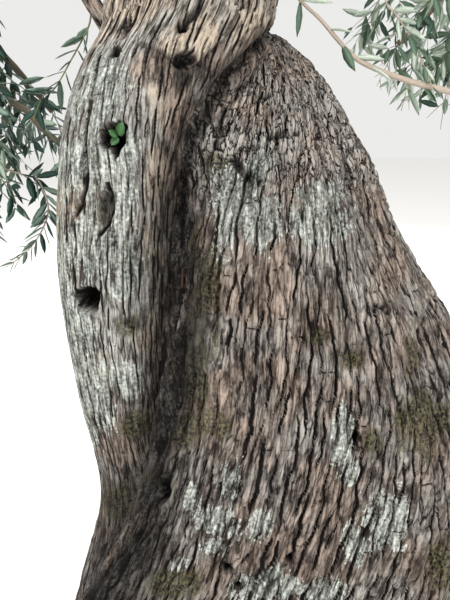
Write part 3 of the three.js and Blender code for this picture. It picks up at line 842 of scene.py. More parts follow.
class Skin:
    """A closed tube of bark as a grid: its rows lie along the grain, and its columns round it."""

    FIELDS = ("fissure", "lichen", "moss", "silver", "tone", "shade", "blocky")
    # Sizes of lumps, across and along the grain
    SWELLS = (0.12, 0.2)
    FLUTES = (0.045, 0.5)
    FIBRES = (0.005, 0.05)
    TONES = (0.08, 0.2)
    COVER_EDGE = (0.03, 0.05)
    PIT_EDGE = (0.012, 0.02)
    PLATE = (0.024, 0.07)
    # How much plates differ in height, how high their round edge is, and its share of a cell
    PLATE_LIFT = (0.004, 0.003, 0.15)
    JOIN_ROUNDS = 3
    # Fillets narrower than this get painted shade in their cleft; the next two say how far it reaches, low
    # and high, and between which heights
    SHARP = 0.06
    CLEFT_SHADE_REACH = (0.14, 0.055)
    CLEFT_SHADE_HEIGHTS = (1.2, 1.6)
    PICTURE_EDGE = 40

    def __init__(self, name: str, plain: Array, drift: Array, style: BarkStyle, seed: int) -> None:
        """Takes the plain surface, with its seam twice, and how far the grain has leaned at each point."""
        self.name = name
        self.points = plain[:, :-1].copy()
        self.drift = drift
        self.style = style
        self.seed = seed
        self.random = np.random.default_rng(seed)
        self.measure()
        self.along = np.concatenate([[0], np.cumsum(self.rise.mean(axis=1)[1:])])
        arc = np.concatenate([np.zeros((len(self.step), 1)), np.cumsum(self.step, axis=1)], axis=1)
        girth = arc[:, -1:]
        self.across = (arc / girth - 0.5) * np.sqrt(girth * np.median(girth)) - drift
        self.height = np.zeros(self.step.shape)
        self.fields = {key: np.zeros(self.step.shape) for key in self.FIELDS}

    def measure(self) -> None:
        """Measures the grid: the gaps between its points, and its normals."""
        onward = np.gradient(self.points, axis=0)
        around = np.roll(self.points, -1, axis=1) - np.roll(self.points, 1, axis=1)
        self.normals = unit(np.cross(around, onward))
        self.step = np.linalg.norm(np.roll(self.points, -1, axis=1) - self.points, axis=-1)
        self.rise = np.linalg.norm(onward, axis=-1)

    def grain(self, wide: float, tall: float) -> Array:
        """The grain coordinates of the points, in lumps of a size across and along the grain."""
        along = np.broadcast_to(self.along[:, None], self.step.shape)
        return np.stack([self.across[:, :-1] / wide, along / tall], axis=-1)

    def grain_noise(self, wide: float, tall: float, octaves: int = 1, salt: int = 0) -> Array:
        """Noise that is stretched along the grain, and joins up at the seam."""
        grain = self.grain(wide, tall)
        girth = (self.across[:, -1:] - self.across[:, :1]) / (2 * math.pi * wide)
        turn = grain[..., 0] / girth
        ring = np.stack([np.cos(turn) * girth, np.sin(turn) * girth, grain[..., 1]], axis=-1)
        return noise(ring, self.seed + salt, octaves)

    def join(self, own: Strand | Limb, others: list[tuple[Strand | Limb, float]]) -> None:
        """Fillets the skin to the forms that it grows into, tucks it under where it is inside them, and
        paints shade in sharp clefts.

        Args:
            own: The form that the skin belongs to.
            others: The other forms, each with the width of its fillet.
        """
        outward = np.zeros(self.step.shape)
        keep = np.ones(self.step.shape)
        widest = max(radius for _, radius in others)
        for _ in range(self.JOIN_ROUNDS):
            moved = self.points + self.normals * outward[..., None]
            total = own.distance(moved)
            for other, radius in others:
                total = smooth_union(total, other.distance(moved), radius)
            outward = np.clip(outward - total, 0, widest / 3)
        for other, radius in others:
            gap = other.distance(self.points)
            keep = np.minimum(keep, np.clip(1 + gap / (radius / 4), 0, 1))
            # Sharp clefts get painted shade, fading with the distance to the other form
            if radius < self.SHARP:
                self.paint_shade(self.cleft_shade(gap))
        self.points = self.points + self.normals * (outward * keep)[..., None]
        self.measure()

    def cleft_shade(self, gap: Array) -> Array:
        """How dark the painted shade is in a sharp cleft, by how far the other form is."""
        reach = mix(*self.CLEFT_SHADE_REACH, ease(*self.CLEFT_SHADE_HEIGHTS, self.points[..., 2]))
        return 0.95 * (1 - np.clip(gap / reach, 0, 1)) ** 1.4

    def roughen(self) -> None:
        """Gives the bark its swellings, flutes, cracks, plates and fibres."""
        style = self.style
        swell = style.swell * self.grain_noise(*self.SWELLS, octaves=2)
        flute = style.flute * self.grain_noise(*self.FLUTES, octaves=2, salt=3)
        fibre = style.fibre * self.grain_noise(*self.FIBRES, octaves=2, salt=5)
        cracks = Fissures(self)
        cracks.grow()
        warp = 0.35 * self.grain_noise(*self.COVER_EDGE, octaves=2, salt=9)
        number, border = cells(self.grain(*self.PLATE) + warp[..., None], self.seed)
        blocky = ease(style.blocky - 0.1, style.blocky + 0.02, self.points[..., 2])
        lift, edge, edge_share = self.PLATE_LIFT
        plate = lift * (number - 0.5) + edge * np.minimum(border / edge_share, 1)
        plate = plate * (1.2 - style.silver + blocky)
        dome = 0.35 * style.depth * (1 - np.exp(-cracks.nearest / 0.006))
        self.height += swell + flute + fibre + plate + dome - cracks.groove
        self.fields["fissure"] = np.clip(cracks.groove / style.depth, 0, 1)
        self.fields["blocky"] = blocky
        self.fields["tone"] = 0.6 * (number - 0.5) + 0.4 * self.grain_noise(*self.TONES, octaves=2, salt=11)
        # Painted light: the tone is made darker towards the foot and lighter towards the top, as the light
        # falls
        self.fields["tone"] += mix(-0.4, 0.55, ease(0.3, 1.8, self.points[..., 2]))

    def weather_and_shade(self, eye: Eye) -> None:
        """Puts the pits, creases and covers where the picture shows them, with painted shade in the pits and
        creases, and strews covers elsewhere.
        """
        x, y, facing = eye.look(self.points, self.normals)
        wide, tall = eye.image
        edge = self.PICTURE_EDGE
        seen = ease(-0.25, 0, facing) * ease(-edge, -5, y)
        seen = seen * (1 - ease(tall, tall + edge, y)) * (1 - ease(wide, wide + edge, x))
        self.mark(x, y, seen)
        ragged = self.grain_noise(*self.COVER_EDGE, octaves=3, salt=21)
        silver = 0.55 - self.style.silver
        # Each cover with its noise's salt, the size of its strewn patches, and how rare they are
        kinds = ((Cover.LICHEN, 31, 0.16, 0.16), (Cover.MOSS, 37, 0.2, 0.3), (Cover.SILVER, 41, 0.3, silver))
        for cover, salt, size, bar in kinds:
            placed = np.full(self.step.shape, -1.0)
            for patch in PATCHES[cover]:
                placed = np.maximum(placed, 1 - oval(x, y, patch))
            strewn = self.grain_noise(size * 0.6, size, octaves=3, salt=salt) - bar
            if cover is Cover.MOSS:
                strewn = strewn + 0.35 * (1 - ease(0.1, 0.9, self.points[..., 2]))
            field_now = seen * placed + (1 - seen) * np.clip(strewn * 1.6, -1, 1)
            # Lichen and moss are kept off where shade is painted, the moss less so
            shy = 0.4 if cover is Cover.MOSS else 0.9
            self.fields[cover.value] = field_now + 0.28 * ragged - shy * self.fields["shade"]

    def mark(self, x: Array, y: Array, seen: Array) -> None:
        """Sinks the pits and creases, and darkens them with painted shade.

        Args:
            x: The points' places across the picture.
            y: Their places down the picture.
            seen: How well each is seen, from 0 to 1.
        """
        ragged = self.grain_noise(*self.PIT_EDGE, octaves=2, salt=51)
        for mark in MARKS:
            away = oval(x, y, mark) + mark.ragged * ragged
            sunk = (1 - ease(0.6, 1.0, away)) * seen
            rim = np.exp(-(((away - 1.15) / 0.2) ** 2)) * seen
            self.height += rim * min(0.12 * mark.depth, 0.004) - sunk * mark.depth
            # Painted shade inside the pit
            self.paint_shade((1 - ease(0.8, 1.02, away)) * mark.shade * seen)
            self.fields["fissure"] *= 1 - sunk
        for crease in CREASES:
            away, reach = beside(x, y, crease.line)
            away = np.abs(away + crease.ragged * ragged)
            self.height -= crease.depth * np.exp(-((away / crease.wide) ** 2)) * seen
            # Painted shade along the crease, fading out to its reach on each side
            self.paint_shade(crease.shade * (1 - np.clip(away / (crease.wide + reach), 0, 1) ** 1.3) * seen)

    def paint_shade(self, share: Array) -> None:
        """Paints shade on the bark: makes it at least as dark as a share says."""
        self.fields["shade"] = np.maximum(self.fields["shade"], share)

    def piece(self, material: bpy.types.Material, nodes: Iterable[str]) -> bpy.types.Object:
        """Rolls the grid into a closed piece, with its fields as attributes and its grain as UV.

        Args:
            material: The bark's material.
            nodes: The solids that the piece stands for.

        Returns:
            The piece.
        """
        final = self.points + self.normals * self.height[..., None]
        final[..., 2] = np.maximum(final[..., 2], 0)
        rows, columns = self.step.shape
        ends = [final[end].mean(axis=0) for end in (0, -1)]
        capped = np.concatenate([np.broadcast_to(ends[0], (1, columns, 3)), final,
                                 np.broadcast_to(ends[1], (1, columns, 3))])
        bpy.ops.object.select_all(action="DESELECT")
        bpy.ops.mesh.primitive_grid_add(x_subdivisions=columns, y_subdivisions=rows + 1, size=1)
        made = bpy.context.object
        made.name = self.name
        mesh = made.data
        mesh.name = self.name
        flat = np.empty(len(mesh.vertices) * 3)
        mesh.vertices.foreach_get("co", flat)
        flat = flat.reshape(-1, 3)
        column = np.round((flat[:, 0] + 0.5) * columns).astype(int)
        row = np.round((flat[:, 1] + 0.5) * (rows + 1)).astype(int)
        mesh.vertices.foreach_set("co", capped[row, column % columns].ravel())
        inner = np.clip(row - 1, 0, rows - 1)
        for key, values in self.fields.items():
            attribute = mesh.attributes.new(key, "FLOAT", "POINT")
            attribute.data.foreach_set("value", values[inner, column % columns].astype(np.float32))
        self.unroll(mesh, inner, column)
        bpy.ops.object.mode_set(mode="EDIT")
        bpy.ops.mesh.select_all(action="SELECT")
        bpy.ops.mesh.remove_doubles(threshold=1e-6)
        bpy.ops.object.mode_set(mode="OBJECT")
        bpy.ops.object.shade_smooth()
        mesh.materials.append(material)
        return settle(made, nodes)

    def unroll(self, mesh: bpy.types.Mesh, row: Array, column: Array) -> None:
        """Writes the grain coordinates, in metres, as the piece's UV map."""
        corner = np.empty(len(mesh.loops), dtype=np.int64)
        mesh.loops.foreach_get("vertex_index", corner)
        places = np.stack([self.across[row, column], self.along[row]], axis=-1)
        mesh.uv_layers[0].name = "grain"
        mesh.uv_layers[0].data.foreach_set("uv", places[corner].astype(np.float32).ravel())


class Fissures:
    """The cracks of a skin: long ones that follow the grain, and short ones across it."""

    STOP = 0.3
    BLOCKY_RUN = 0.25
    CROSS_REACH = 0.035
    JAG = 0.16

    def __init__(self, skin: Skin) -> None:
        """Starts with whole bark."""
        self.skin = skin
        self.style = skin.style
        self.random = skin.random
        self.nearest = np.full(skin.step.shape, FAR)
        self.crossing = np.full(skin.step.shape, FAR)
        self.groove = np.zeros(skin.step.shape)

    def grow(self) -> None:
        """Grows all the cracks."""
        skin, style = self.skin, self.style
        weights = skin.step.sum(axis=1) * skin.rise.mean(axis=1)
        area = weights.sum()
        rows, columns = skin.step.shape
        tries = int(7 * area / (style.spacing * 0.1))
        seats = self.random.choice(rows, tries, p=weights / area)
        for row, column in zip(seats, self.random.integers(0, columns, tries)):
            if self.nearest[row, column] > style.spacing * self.random.uniform(0.55, 1.1):
                self.add_long(int(row), int(column))
        tries = int(3 * area / (style.spacing * style.cross))
        seats = self.random.choice(rows, tries, p=weights / area)
        for row, column in zip(seats, self.random.integers(0, columns, tries)):
            apart = style.cross * self.random.uniform(0.4, 1.2) * self.shortness(row)
            if self.crossing[row, column] > apart and self.nearest[row, column] > 0.25 * style.spacing:
                self.add_cross(int(row), int(column))

    def shortness(self, row: int) -> float:
        """How short the cracks are at a row, as a share of their length lower down."""
        height = self.skin.points[row, :, 2].mean()
        return self.BLOCKY_RUN if height > self.style.blocky else 1.0

    def add_long(self, row: int, column: int) -> None:
        """Adds a crack that follows the grain through a place until it meets another."""
        skin, style = self.skin, self.style
        run = self.random.uniform(*style.run) * self.shortness(row)
        below = run * self.random.uniform(0.3, 0.7)
        first, last = np.searchsorted(skin.along, [skin.along[row] - below, skin.along[row] + run - below])
        rows = np.arange(first, last)
        if len(rows) < 4 or not first <= row < last:
            return
        t = skin.along[rows] - skin.along[row]
        aside = skin.drift[rows, column] - skin.drift[row, column]
        jags = np.cumsum(self.random.normal(0, self.JAG, len(rows)))
        aside = aside + style.wobble * (jags - jags[row - first])
        for share, length in ((0.8, 0.2), (0.35, 0.06)):
            wave = length * self.random.uniform(0.7, 1.4)
            phase = self.random.uniform(0, 6.3)
            aside = aside + share * style.wobble * (np.sin(6.3 * t / wave + phase) - math.sin(phase))
        columns = column + aside / skin.step[rows, column]
        nearby = self.nearest[rows, np.round(columns).astype(int) % skin.step.shape[1]]
        met = nearby < style.spacing * self.STOP
        above, under = np.flatnonzero(met[row - first:]), np.flatnonzero(met[: row - first][::-1])
        top = row - first + above[0] + 1 if len(above) else len(rows)
        foot = row - first - under[0] - 1 if len(under) else 0
        rows, columns = rows[foot:top], columns[foot:top]
        if len(rows) > 3:
            self.paint(rows, columns, along=True)

    def add_cross(self, row: int, column: int) -> None:
        """Adds a short crack across the grain, from one long crack to the next."""
        skin = self.skin
        half = int(self.CROSS_REACH / skin.step[row, column])
        columns = np.arange(column - half, column + half + 1)
        met = self.nearest[row, columns % skin.step.shape[1]] < 0.003
        right, left = np.flatnonzero(met[half:]), np.flatnonzero(met[:half][::-1])
        before = left[0] + 1 if len(left) else half
        after = right[0] + 1 if len(right) else half
        columns = columns[half - before: half + after]
        if len(columns) < 3:
            return
        slope, bend = self.random.uniform(-1.1, 1.1), self.random.uniform(-0.004, 0.004)
        t = (columns - column) * skin.step[row, column]
        aside = slope * t + bend * np.sin(t / 0.005)
        rows = np.clip(row + aside / skin.rise[row, column], 0, len(skin.along) - 1)
        self.paint(rows, columns, along=False)

    def paint(self, rows: Array, columns: Array, along: bool) -> None:
        """Cuts one crack into the bark.

        Args:
            rows: The rows that it passes.
            columns: The columns that it passes.
            along: Whether it runs along the grain and not across it.
        """
        skin, style = self.skin, self.style
        count = skin.step.shape[1]
        t = np.linspace(0, 1, len(rows))
        taper = np.clip(0.3 + 4 * np.minimum(t, 1 - t), 0, 1) * self.random.uniform(0.6, 1.15)
        centre_row, centre_column = np.round(rows).astype(int), np.round(columns).astype(int)
        gap = skin.step if along else skin.rise
        reach = int(min(math.ceil(1.2 * style.spacing / gap[centre_row[0], centre_column[0] % count]), 40))
        offsets = np.arange(-reach, reach + 1)
        if along:
            row_at = np.broadcast_to(centre_row[:, None], (len(rows), len(offsets)))
            column_at = centre_column[:, None] + offsets
            distance = np.abs(column_at - columns[:, None])
        else:
            row_at = np.clip(centre_row[:, None] + offsets, 0, len(skin.along) - 1)
            column_at = np.broadcast_to(centre_column[:, None], row_at.shape)
            distance = np.abs(row_at - rows[:, None])
        column_at = column_at % count
        distance = distance * gap[row_at, column_at]
        width = style.width * (1.0 if along else 0.75) * (0.55 + 0.45 * taper[:, None])
        width = np.maximum(width, (0.8 if along else 0.4) * gap[row_at, column_at])
        depth = style.depth * (1.0 if along else 0.55) * taper[:, None]
        known = self.nearest if along else self.crossing
        known[row_at, column_at] = np.minimum(known[row_at, column_at], distance)
        groove = depth * np.exp(-((distance / width) ** 2))
        self.groove[row_at, column_at] = np.maximum(self.groove[row_at, column_at], groove)


def oval(x: Array, y: Array, spot: Patch | Mark) -> Array:
    """How far pixels lie from the middle of a spot, where 1 is its rim."""
    cosine, sine = math.cos(spot.lean * DEGREE), math.sin(spot.lean * DEGREE)
    right, down = x - spot.x, y - spot.y
    return np.hypot((right * cosine + down * sine) / spot.wide, (down * cosine - right * sine) / spot.tall)


def beside(x: Array, y: Array, line: tuple[tuple[float, ...], ...]) -> tuple[Array, Array]:
    """Where pixels lie beside a line.

    Args:
        x: Places across the picture.
        y: Places down the picture.
        line: The line's stations: a pixel each, and a value for its left and for its right side.

    Returns:
        How far each is from the line, less than 0 on its left, and the line's value on that side.
    """
    nearest, value = np.full(x.shape, 1e6), np.zeros(x.shape)
    for start, end in zip(np.array(line, float), np.array(line[1:], float)):
        step = end - start
        right, down = x - start[0], y - start[1]
        share = np.clip((right * step[0] + down * step[1]) / (step[0] ** 2 + step[1] ** 2), 0, 1)
        away = np.hypot(right - share * step[0], down - share * step[1])
        left = step[0] * down > step[1] * right
        nearer = away < np.abs(nearest)
        nearest = np.where(nearer, np.where(left, -away, away), nearest)
        side = np.where(left, start[2] + share * step[2], start[3] + share * step[3])
        value = np.where(nearer, side, value)
    return nearest, value


def settle(piece: bpy.types.Object, nodes: Iterable[str]) -> bpy.types.Object:
    """Lets a finished piece ride on the tree and stand for its solids.

    Args:
        piece: The piece.
        nodes: The solids that it stands for.

    Returns:
        The piece.
    """
    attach(piece, BODY)
    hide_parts(*nodes)
    log.info("%s: %d faces", piece.name, len(piece.data.polygons))
    return piece


@dataclass
class Wood:
    """The trunk, boughs and side limbs, each a skin of bark."""

    plan: Plan
    eye: Eye
    material: bpy.types.Material
    seed: int = 90
    bough_columns: int = 150
    limb_columns: int = 22
    front_boughs: tuple[str, ...] = ("bough_left", "bough_right")

    def build(self) -> None:
        """Makes every piece of wood."""
        for index, strand in enumerate(STRANDS):
            self.strand(strand, self.seed + 7 * index)
        for index, bough in enumerate(self.plan.boughs):
            self.bough(bough, self.seed + 50 + 7 * index)
        for index, limb in enumerate(self.plan.limbs):
            self.limb(limb, self.seed + 150 + 7 * index)

    def strand(self, strand: Strand, seed: int) -> None:
        """Makes one strand of the trunk."""
        skin = Skin(strand.name, *strand.grid(), strand.style, seed)
        others = []
        for other in STRANDS:
            pair = [key for key in STRAND_FILLETS if strand.name in key and other.name in key]
            if other is not strand and pair:
                others.append((other, STRAND_FILLETS[pair[0]]))
        others += [(bough, LIMB_FILLET) for bough in self.plan.boughs[:4]]
        skin.join(strand, others)
        skin.roughen()
        skin.weather_and_shade(self.eye)
        skin.piece(self.material, ["trunk"])

    def bough(self, bough: Limb, seed: int) -> None:
        """Makes one bough, from inside the trunk to its tip."""
        close = bough.name in self.front_boughs
        base = np.linspace(0, 0.16, 100 if close else 30, endpoint=False)
        rest = np.linspace(0.16, 1, 110)
        shares = np.concatenate([base, rest])
        columns = self.bough_columns if close else 70
        skin = Skin(bough.name, *bough.grid(shares, columns), BOUGH_BARK, seed)
        others = [(strand, LIMB_FILLET) for strand in STRANDS]
        others += [(other, LIMB_FILLET) for other in self.plan.boughs if other is not bough]
        skin.join(bough, others)
        skin.roughen()
        skin.weather_and_shade(self.eye)
        skin.piece(self.material, [bough.name])

    def limb(self, limb: Limb, seed: int) -> None:
        """Makes one side limb or thin branch."""
        skin = Skin(limb.name, *limb.grid(np.linspace(0, 1, 90), self.limb_columns), LIMB_BARK, seed)
        skin.join(limb, [(bough, LIMB_FILLET / 2) for bough in self.plan.boughs])
        thin = min(1.0, limb.radius / 0.06)
        skin.roughen()
        skin.height *= thin
        skin.weather_and_shade(self.eye)
        skin.piece(self.material, [limb.name])


Input = "Value | float | tuple[float, ...]"


class Value:
    """A socket that carries a number, with arithmetic that adds the nodes for it."""

    def __init__(self, sheet: Sheet, socket: bpy.types.NodeSocket) -> None:
        """Wraps a socket of a sheet."""
        self.sheet = sheet
        self.socket = socket

    def __add__(self, other: Input) -> Value:
        """The sum."""
        return self.sheet.maths("ADD", self, other)

    def __sub__(self, other: Input) -> Value:
        """The difference."""
        return self.sheet.maths("SUBTRACT", self, other)

    def __rsub__(self, other: Input) -> Value:
        """The difference, from the other side."""
        return self.sheet.maths("SUBTRACT", other, self)

    def __mul__(self, other: Input) -> Value:
        """The product."""
        return self.sheet.maths("MULTIPLY", self, other)

    def clamped(self) -> Value:
        """The number kept from 0 to 1."""
        return self.ramp(0, 1, smooth=False)

    def near(self, middle: float, reach: float) -> Value:
        """1 where the number is at a middle value, falling to 0 at a reach from it."""
        return 1 - self.sheet.maths("ABSOLUTE", self - middle, 0.0).ramp(0, reach)

    def ramp(self, low: float, high: float, smooth: bool = True) -> Value:
        """A step from 0 at low to 1 at high."""
        kind = "SMOOTHSTEP" if smooth else "LINEAR"
        made = self.sheet.node("ShaderNodeMapRange", {"interpolation_type": kind, "clamp": True},
                               {0: self, 1: low, 2: high, 3: 0.0, 4: 1.0})
        return Value(self.sheet, made.outputs[0])


class Sheet:
    """The nodes of one material."""

    def __init__(self, name: str) -> None:
        """Starts a material with only a Principled shader."""
        self.material = bpy.data.materials.new(name)
        self.material.use_nodes = True
        self.tree = self.material.node_tree
        self.tree.nodes.clear()
        self.shader = self.node("ShaderNodeBsdfPrincipled", {}, {})
        self.node("ShaderNodeOutputMaterial", {}, {"Surface": Value(self, self.shader.outputs[0])})

    def node(self, kind: str, settings: dict[str, str | bool | float], inputs: dict[str | int, Input]
             ) -> bpy.types.Node:
        """Adds a node.

        Args:
            kind: The node's type.
            settings: Its settings, which are made first.
            inputs: The values and links of its sockets.

        Returns:
            The node.
        """
        made = self.tree.nodes.new(kind)
        for name, setting in settings.items():
            setattr(made, name, setting)
        for key, value in inputs.items():
            if isinstance(value, Value):
                self.tree.links.new(value.socket, made.inputs[key])
            else:
                made.inputs[key].default_value = value
        return made

    def maths(self, operation: str, first: Input, second: Input) -> Value:
        """The result of one sum."""
        made = self.node("ShaderNodeMath", {"operation": operation}, {0: first, 1: second})
        return Value(self, made.outputs[0])

    def attribute(self, name: str) -> Value:
        """A number that is kept with the piece."""
        made = self.node("ShaderNodeAttribute", {"attribute_name": name}, {})
        return Value(self, made.outputs["Fac"])

    def objects(self) -> Value:
        """The Object coordinates."""
        return Value(self, self.node("ShaderNodeTexCoord", {}, {}).outputs["Object"])

    def grain(self) -> Value:
        """The grain coordinates, in metres."""
        return Value(self, self.node("ShaderNodeUVMap", {"uv_map": "grain"}, {}).outputs[0])

    def scaled(self, place: Value, scale: tuple[float, float, float]) -> Value:
        """Coordinates stretched by a factor along each axis."""
        made = self.node("ShaderNodeVectorMath", {"operation": "MULTIPLY"}, {0: place, 1: scale})
        return Value(self, made.outputs[0])

    def noise(self, place: Value, scale: float, detail: float = 2.0) -> Value:
        """Smooth noise from 0 to 1."""
        made = self.node("ShaderNodeTexNoise", {}, {"Vector": place, "Scale": scale, "Detail": detail})
        return Value(self, made.outputs[0])

    def warped(self, place: Value, amount: float, scale: float) -> Value:
        """Coordinates moved aside by smooth noise."""
        made = self.node("ShaderNodeTexNoise", {}, {"Vector": place, "Scale": scale, "Detail": 2.0})
        aside = self.node("ShaderNodeVectorMath", {"operation": "MULTIPLY_ADD"},
                          {0: Value(self, made.outputs[1]), 1: (amount,) * 3, 2: place})
        return Value(self, aside.outputs[0])

    def scale(self, place: Value) -> Value:
        """A random number for each uneven cell."""
        made = self.node("ShaderNodeTexVoronoi", {}, {"Vector": place, "Scale": 1.0})
        return Value(self, made.outputs["Color"])

    def borders(self, place: Value) -> Value:
        """The distance to the border of an uneven cell."""
        made = self.node("ShaderNodeTexVoronoi", {"feature": "DISTANCE_TO_EDGE"},
                         {"Vector": place, "Scale": 1.0})
        return Value(self, made.outputs["Distance"])

    def blend(self, share: Input, low: Value | Colour, high: Value | Colour) -> Value:
        """A colour between two colours."""
        made = self.node("ShaderNodeMix", {"data_type": "RGBA"}, {0: share, 6: tint(low), 7: tint(high)})
        return Value(self, made.outputs[2])

    def bump(self, height: Value, distance: float) -> Value:
        """Normals from a height."""
        made = self.node("ShaderNodeBump", {}, {"Height": height, "Distance": distance, "Strength": 1.0})
        return Value(self, made.outputs[0])

    def finish(self, inputs: dict[str | int, Input]) -> bpy.types.Material:
        """Sets the shader's sockets, and gives the material."""
        for key, value in inputs.items():
            if isinstance(value, Value):
                self.tree.links.new(value.socket, self.shader.inputs[key])
            else:
                self.shader.inputs[key].default_value = value
        return self.material


def tint(colour: Value | Colour) -> Value | tuple[float, ...]:
    """A colour from 0 to 255 as light; a socket stays as it is."""
    if isinstance(colour, Value):
        return colour
    shares = (channel / 255 for channel in colour)
    light = (share / 12.92 if share <= 0.04045 else ((share + 0.055) / 1.055) ** 2.4 for share in shares)
    return (*light, 1.0)


@dataclass(frozen=True)
class BarkFinish:
    """The looks of bark: colours from 0 to 255, and sizes as counts in a metre."""

    plate: tuple[Colour, Colour, Colour] = ((62, 53, 47), (166, 160, 153), (168, 150, 137))
    silver: tuple[Colour, Colour, Colour] = ((64, 60, 56), (176, 173, 166), (192, 176, 158))
    fissure: Colour = (22, 17, 15)
    # The colour of painted shade, which clefts, creases and pits are blended towards
    hollow: Colour = (11, 9, 8)
    lichen: tuple[Colour, Colour] = ((60, 64, 60), (202, 206, 197))
    moss: tuple[Colour, Colour] = ((10, 9, 5), (92, 87, 58))
    scales: tuple[float, float, float] = (58, 17, 1)
    fibre: tuple[float, float, float] = (230, 24, 1)
    dashes: tuple[float, float, float] = (135, 20, 1)
    threads: tuple[float, float, float] = (85, 8, 1)
    cracks: tuple[float, float, float] = (38, 9, 1)
    blocks: tuple[float, float, float] = (76, 30, 1)
    relief: float = 0.006

    def material(self) -> bpy.types.Material:
        """The bark's material."""
        sheet = Sheet("bark")
        place, grain = sheet.objects(), sheet.grain()
        fibre = sheet.noise(sheet.scaled(grain, self.fibre), 1.0, detail=3.0)
        dash = sheet.noise(sheet.scaled(grain, self.dashes), 1.0, detail=4.0).ramp(0.36, 0.56)
        speck = sheet.noise(place, 150.0, detail=5.0)
        blotch = sheet.noise(place, 22.0, detail=4.0)
        warm = sheet.noise(place, 8.0, detail=4.0).ramp(0.42, 0.62)
        scale = sheet.scale(sheet.warped(sheet.scaled(grain, self.scales), 0.7, 1.6))
        thread = sheet.noise(sheet.scaled(grain, self.threads), 1.0, detail=5.0).near(0.5, 0.03)
        blocky = sheet.attribute("blocky")
        crack, block = (1 - sheet.borders(sheet.warped(sheet.scaled(grain, size), warp, 2.0)).ramp(0.0, 0.1)
                        for size, warp in ((self.cracks, 0.6), (self.blocks, 1.1)))
        crack = crack * (1 - blocky) * 0.7 + block * blocky * (speck * 1.3 + dash)
        deep = sheet.attribute("fissure").ramp(0.28, 0.58)
        silver = sheet.attribute("silver").ramp(-0.15, 0.3)
        # tone carries the bark's own random tone and also painted light, darker towards the foot and lighter
        # towards the top
        tone = sheet.attribute("tone") * 0.4 + speck * 0.8 - 0.4
        level = tone + fibre * 0.8 + blotch * 1.3 + scale * 0.35 + dash * 0.5 - 1.1
        level = level + blocky * (scale * 1.1 + blotch * 0.9 + speck * 0.8 - 1.05)
        level = level.clamped()
        plate = sheet.blend(level, self.plate[0], sheet.blend(warm, *self.plate[1:]))
        bare = (tone + dash * 0.7 + fibre * 0.9 + blotch * 0.9 - 0.9).clamped()
        bare = sheet.blend(bare, self.silver[0], sheet.blend(warm, *self.silver[1:]))
        wood = sheet.blend(silver, plate, bare)
        gap = (crack * (0.85 - silver * 0.6) + thread * 0.6 + deep).clamped()
        wood = sheet.blend(gap, wood, self.fissure)
        ragged = speck * 0.8 + blotch * 0.8 - 0.8
        moss = (sheet.attribute("moss") + ragged * 1.5 + dash * 0.2 - 0.12).ramp(0.0, 0.35) * 0.75
        wood = sheet.blend(moss, wood, sheet.blend(speck.ramp(0.42, 0.6), *self.moss))
        lichen = (sheet.attribute("lichen") + ragged * 1.5 + dash * 0.35 - gap * 0.35 - 0.2).ramp(0.0, 0.12)
        lichen = lichen * (1 - gap * 0.75) * (dash * 0.4 + 0.6)
        pale = (speck * 2.2 + blotch + dash * 0.4 - 1.42).clamped()
        wood = sheet.blend(lichen, wood, sheet.blend(pale, *self.lichen))
        # Painted shade: the shade attribute blends the bark towards the hollow colour; specks and dashes keep
        # a little of the bark's pattern
        shade = (sheet.attribute("shade") * (1.35 - speck * 0.6 - dash * 0.1)).clamped()
        wood = sheet.blend(shade, wood, self.hollow)
        height = fibre * 0.3 + dash * 0.4 + speck * 0.35 + scale * 0.3 * (1 - silver * 0.6) - gap * 0.6
        return sheet.finish({
            "Base Color": wood,
            "Roughness": 0.95 - level * 0.1,
            "Specular IOR Level": 0.2,
            "Normal": sheet.bump(height + lichen * 0.2, self.relief),
        })


@dataclass(frozen=True)
class PlainFinish:
    """A plain colour from 0 to 255, for things too small for a pattern."""

    name: str
    colour: Colour
    rough: float = 0.6
    shine: float = 0.35

    def material(self) -> bpy.types.Material:
        """The finish's material."""
        sheet = Sheet(self.name)
        return sheet.finish({"Base Color": tint(self.colour), "Roughness": self.rough,
                             "Specular IOR Level": self.shine})


# Upper and under side of each tone of leaf, then the twigs
LEAF_FINISHES = (
    PlainFinish("leaf_upper_dark", (44, 72, 62), 0.5),
    PlainFinish("leaf_under_dark", (112, 134, 120), 0.7),
    PlainFinish("leaf_upper_middle", (62, 90, 74), 0.5),
    PlainFinish("leaf_under_middle", (158, 176, 158), 0.7),
    PlainFinish("leaf_upper_pale", (96, 120, 100), 0.5),
    PlainFinish("leaf_under_pale", (198, 210, 194), 0.7),
    PlainFinish("leaf_sprout", (64, 102, 58), 0.5),
    PlainFinish("leaf_sprout_under", (72, 110, 66), 0.6),
)
TWIG_FINISHES = (
    PlainFinish("twig_grey", (112, 104, 90), 0.85),
    PlainFinish("twig_green", (126, 128, 92), 0.8),
    PlainFinish("twig_pale", (180, 165, 150), 0.8),
    PlainFinish("twig_dead", (70, 48, 38), 0.85),
)
SPROUT_TONE = 3


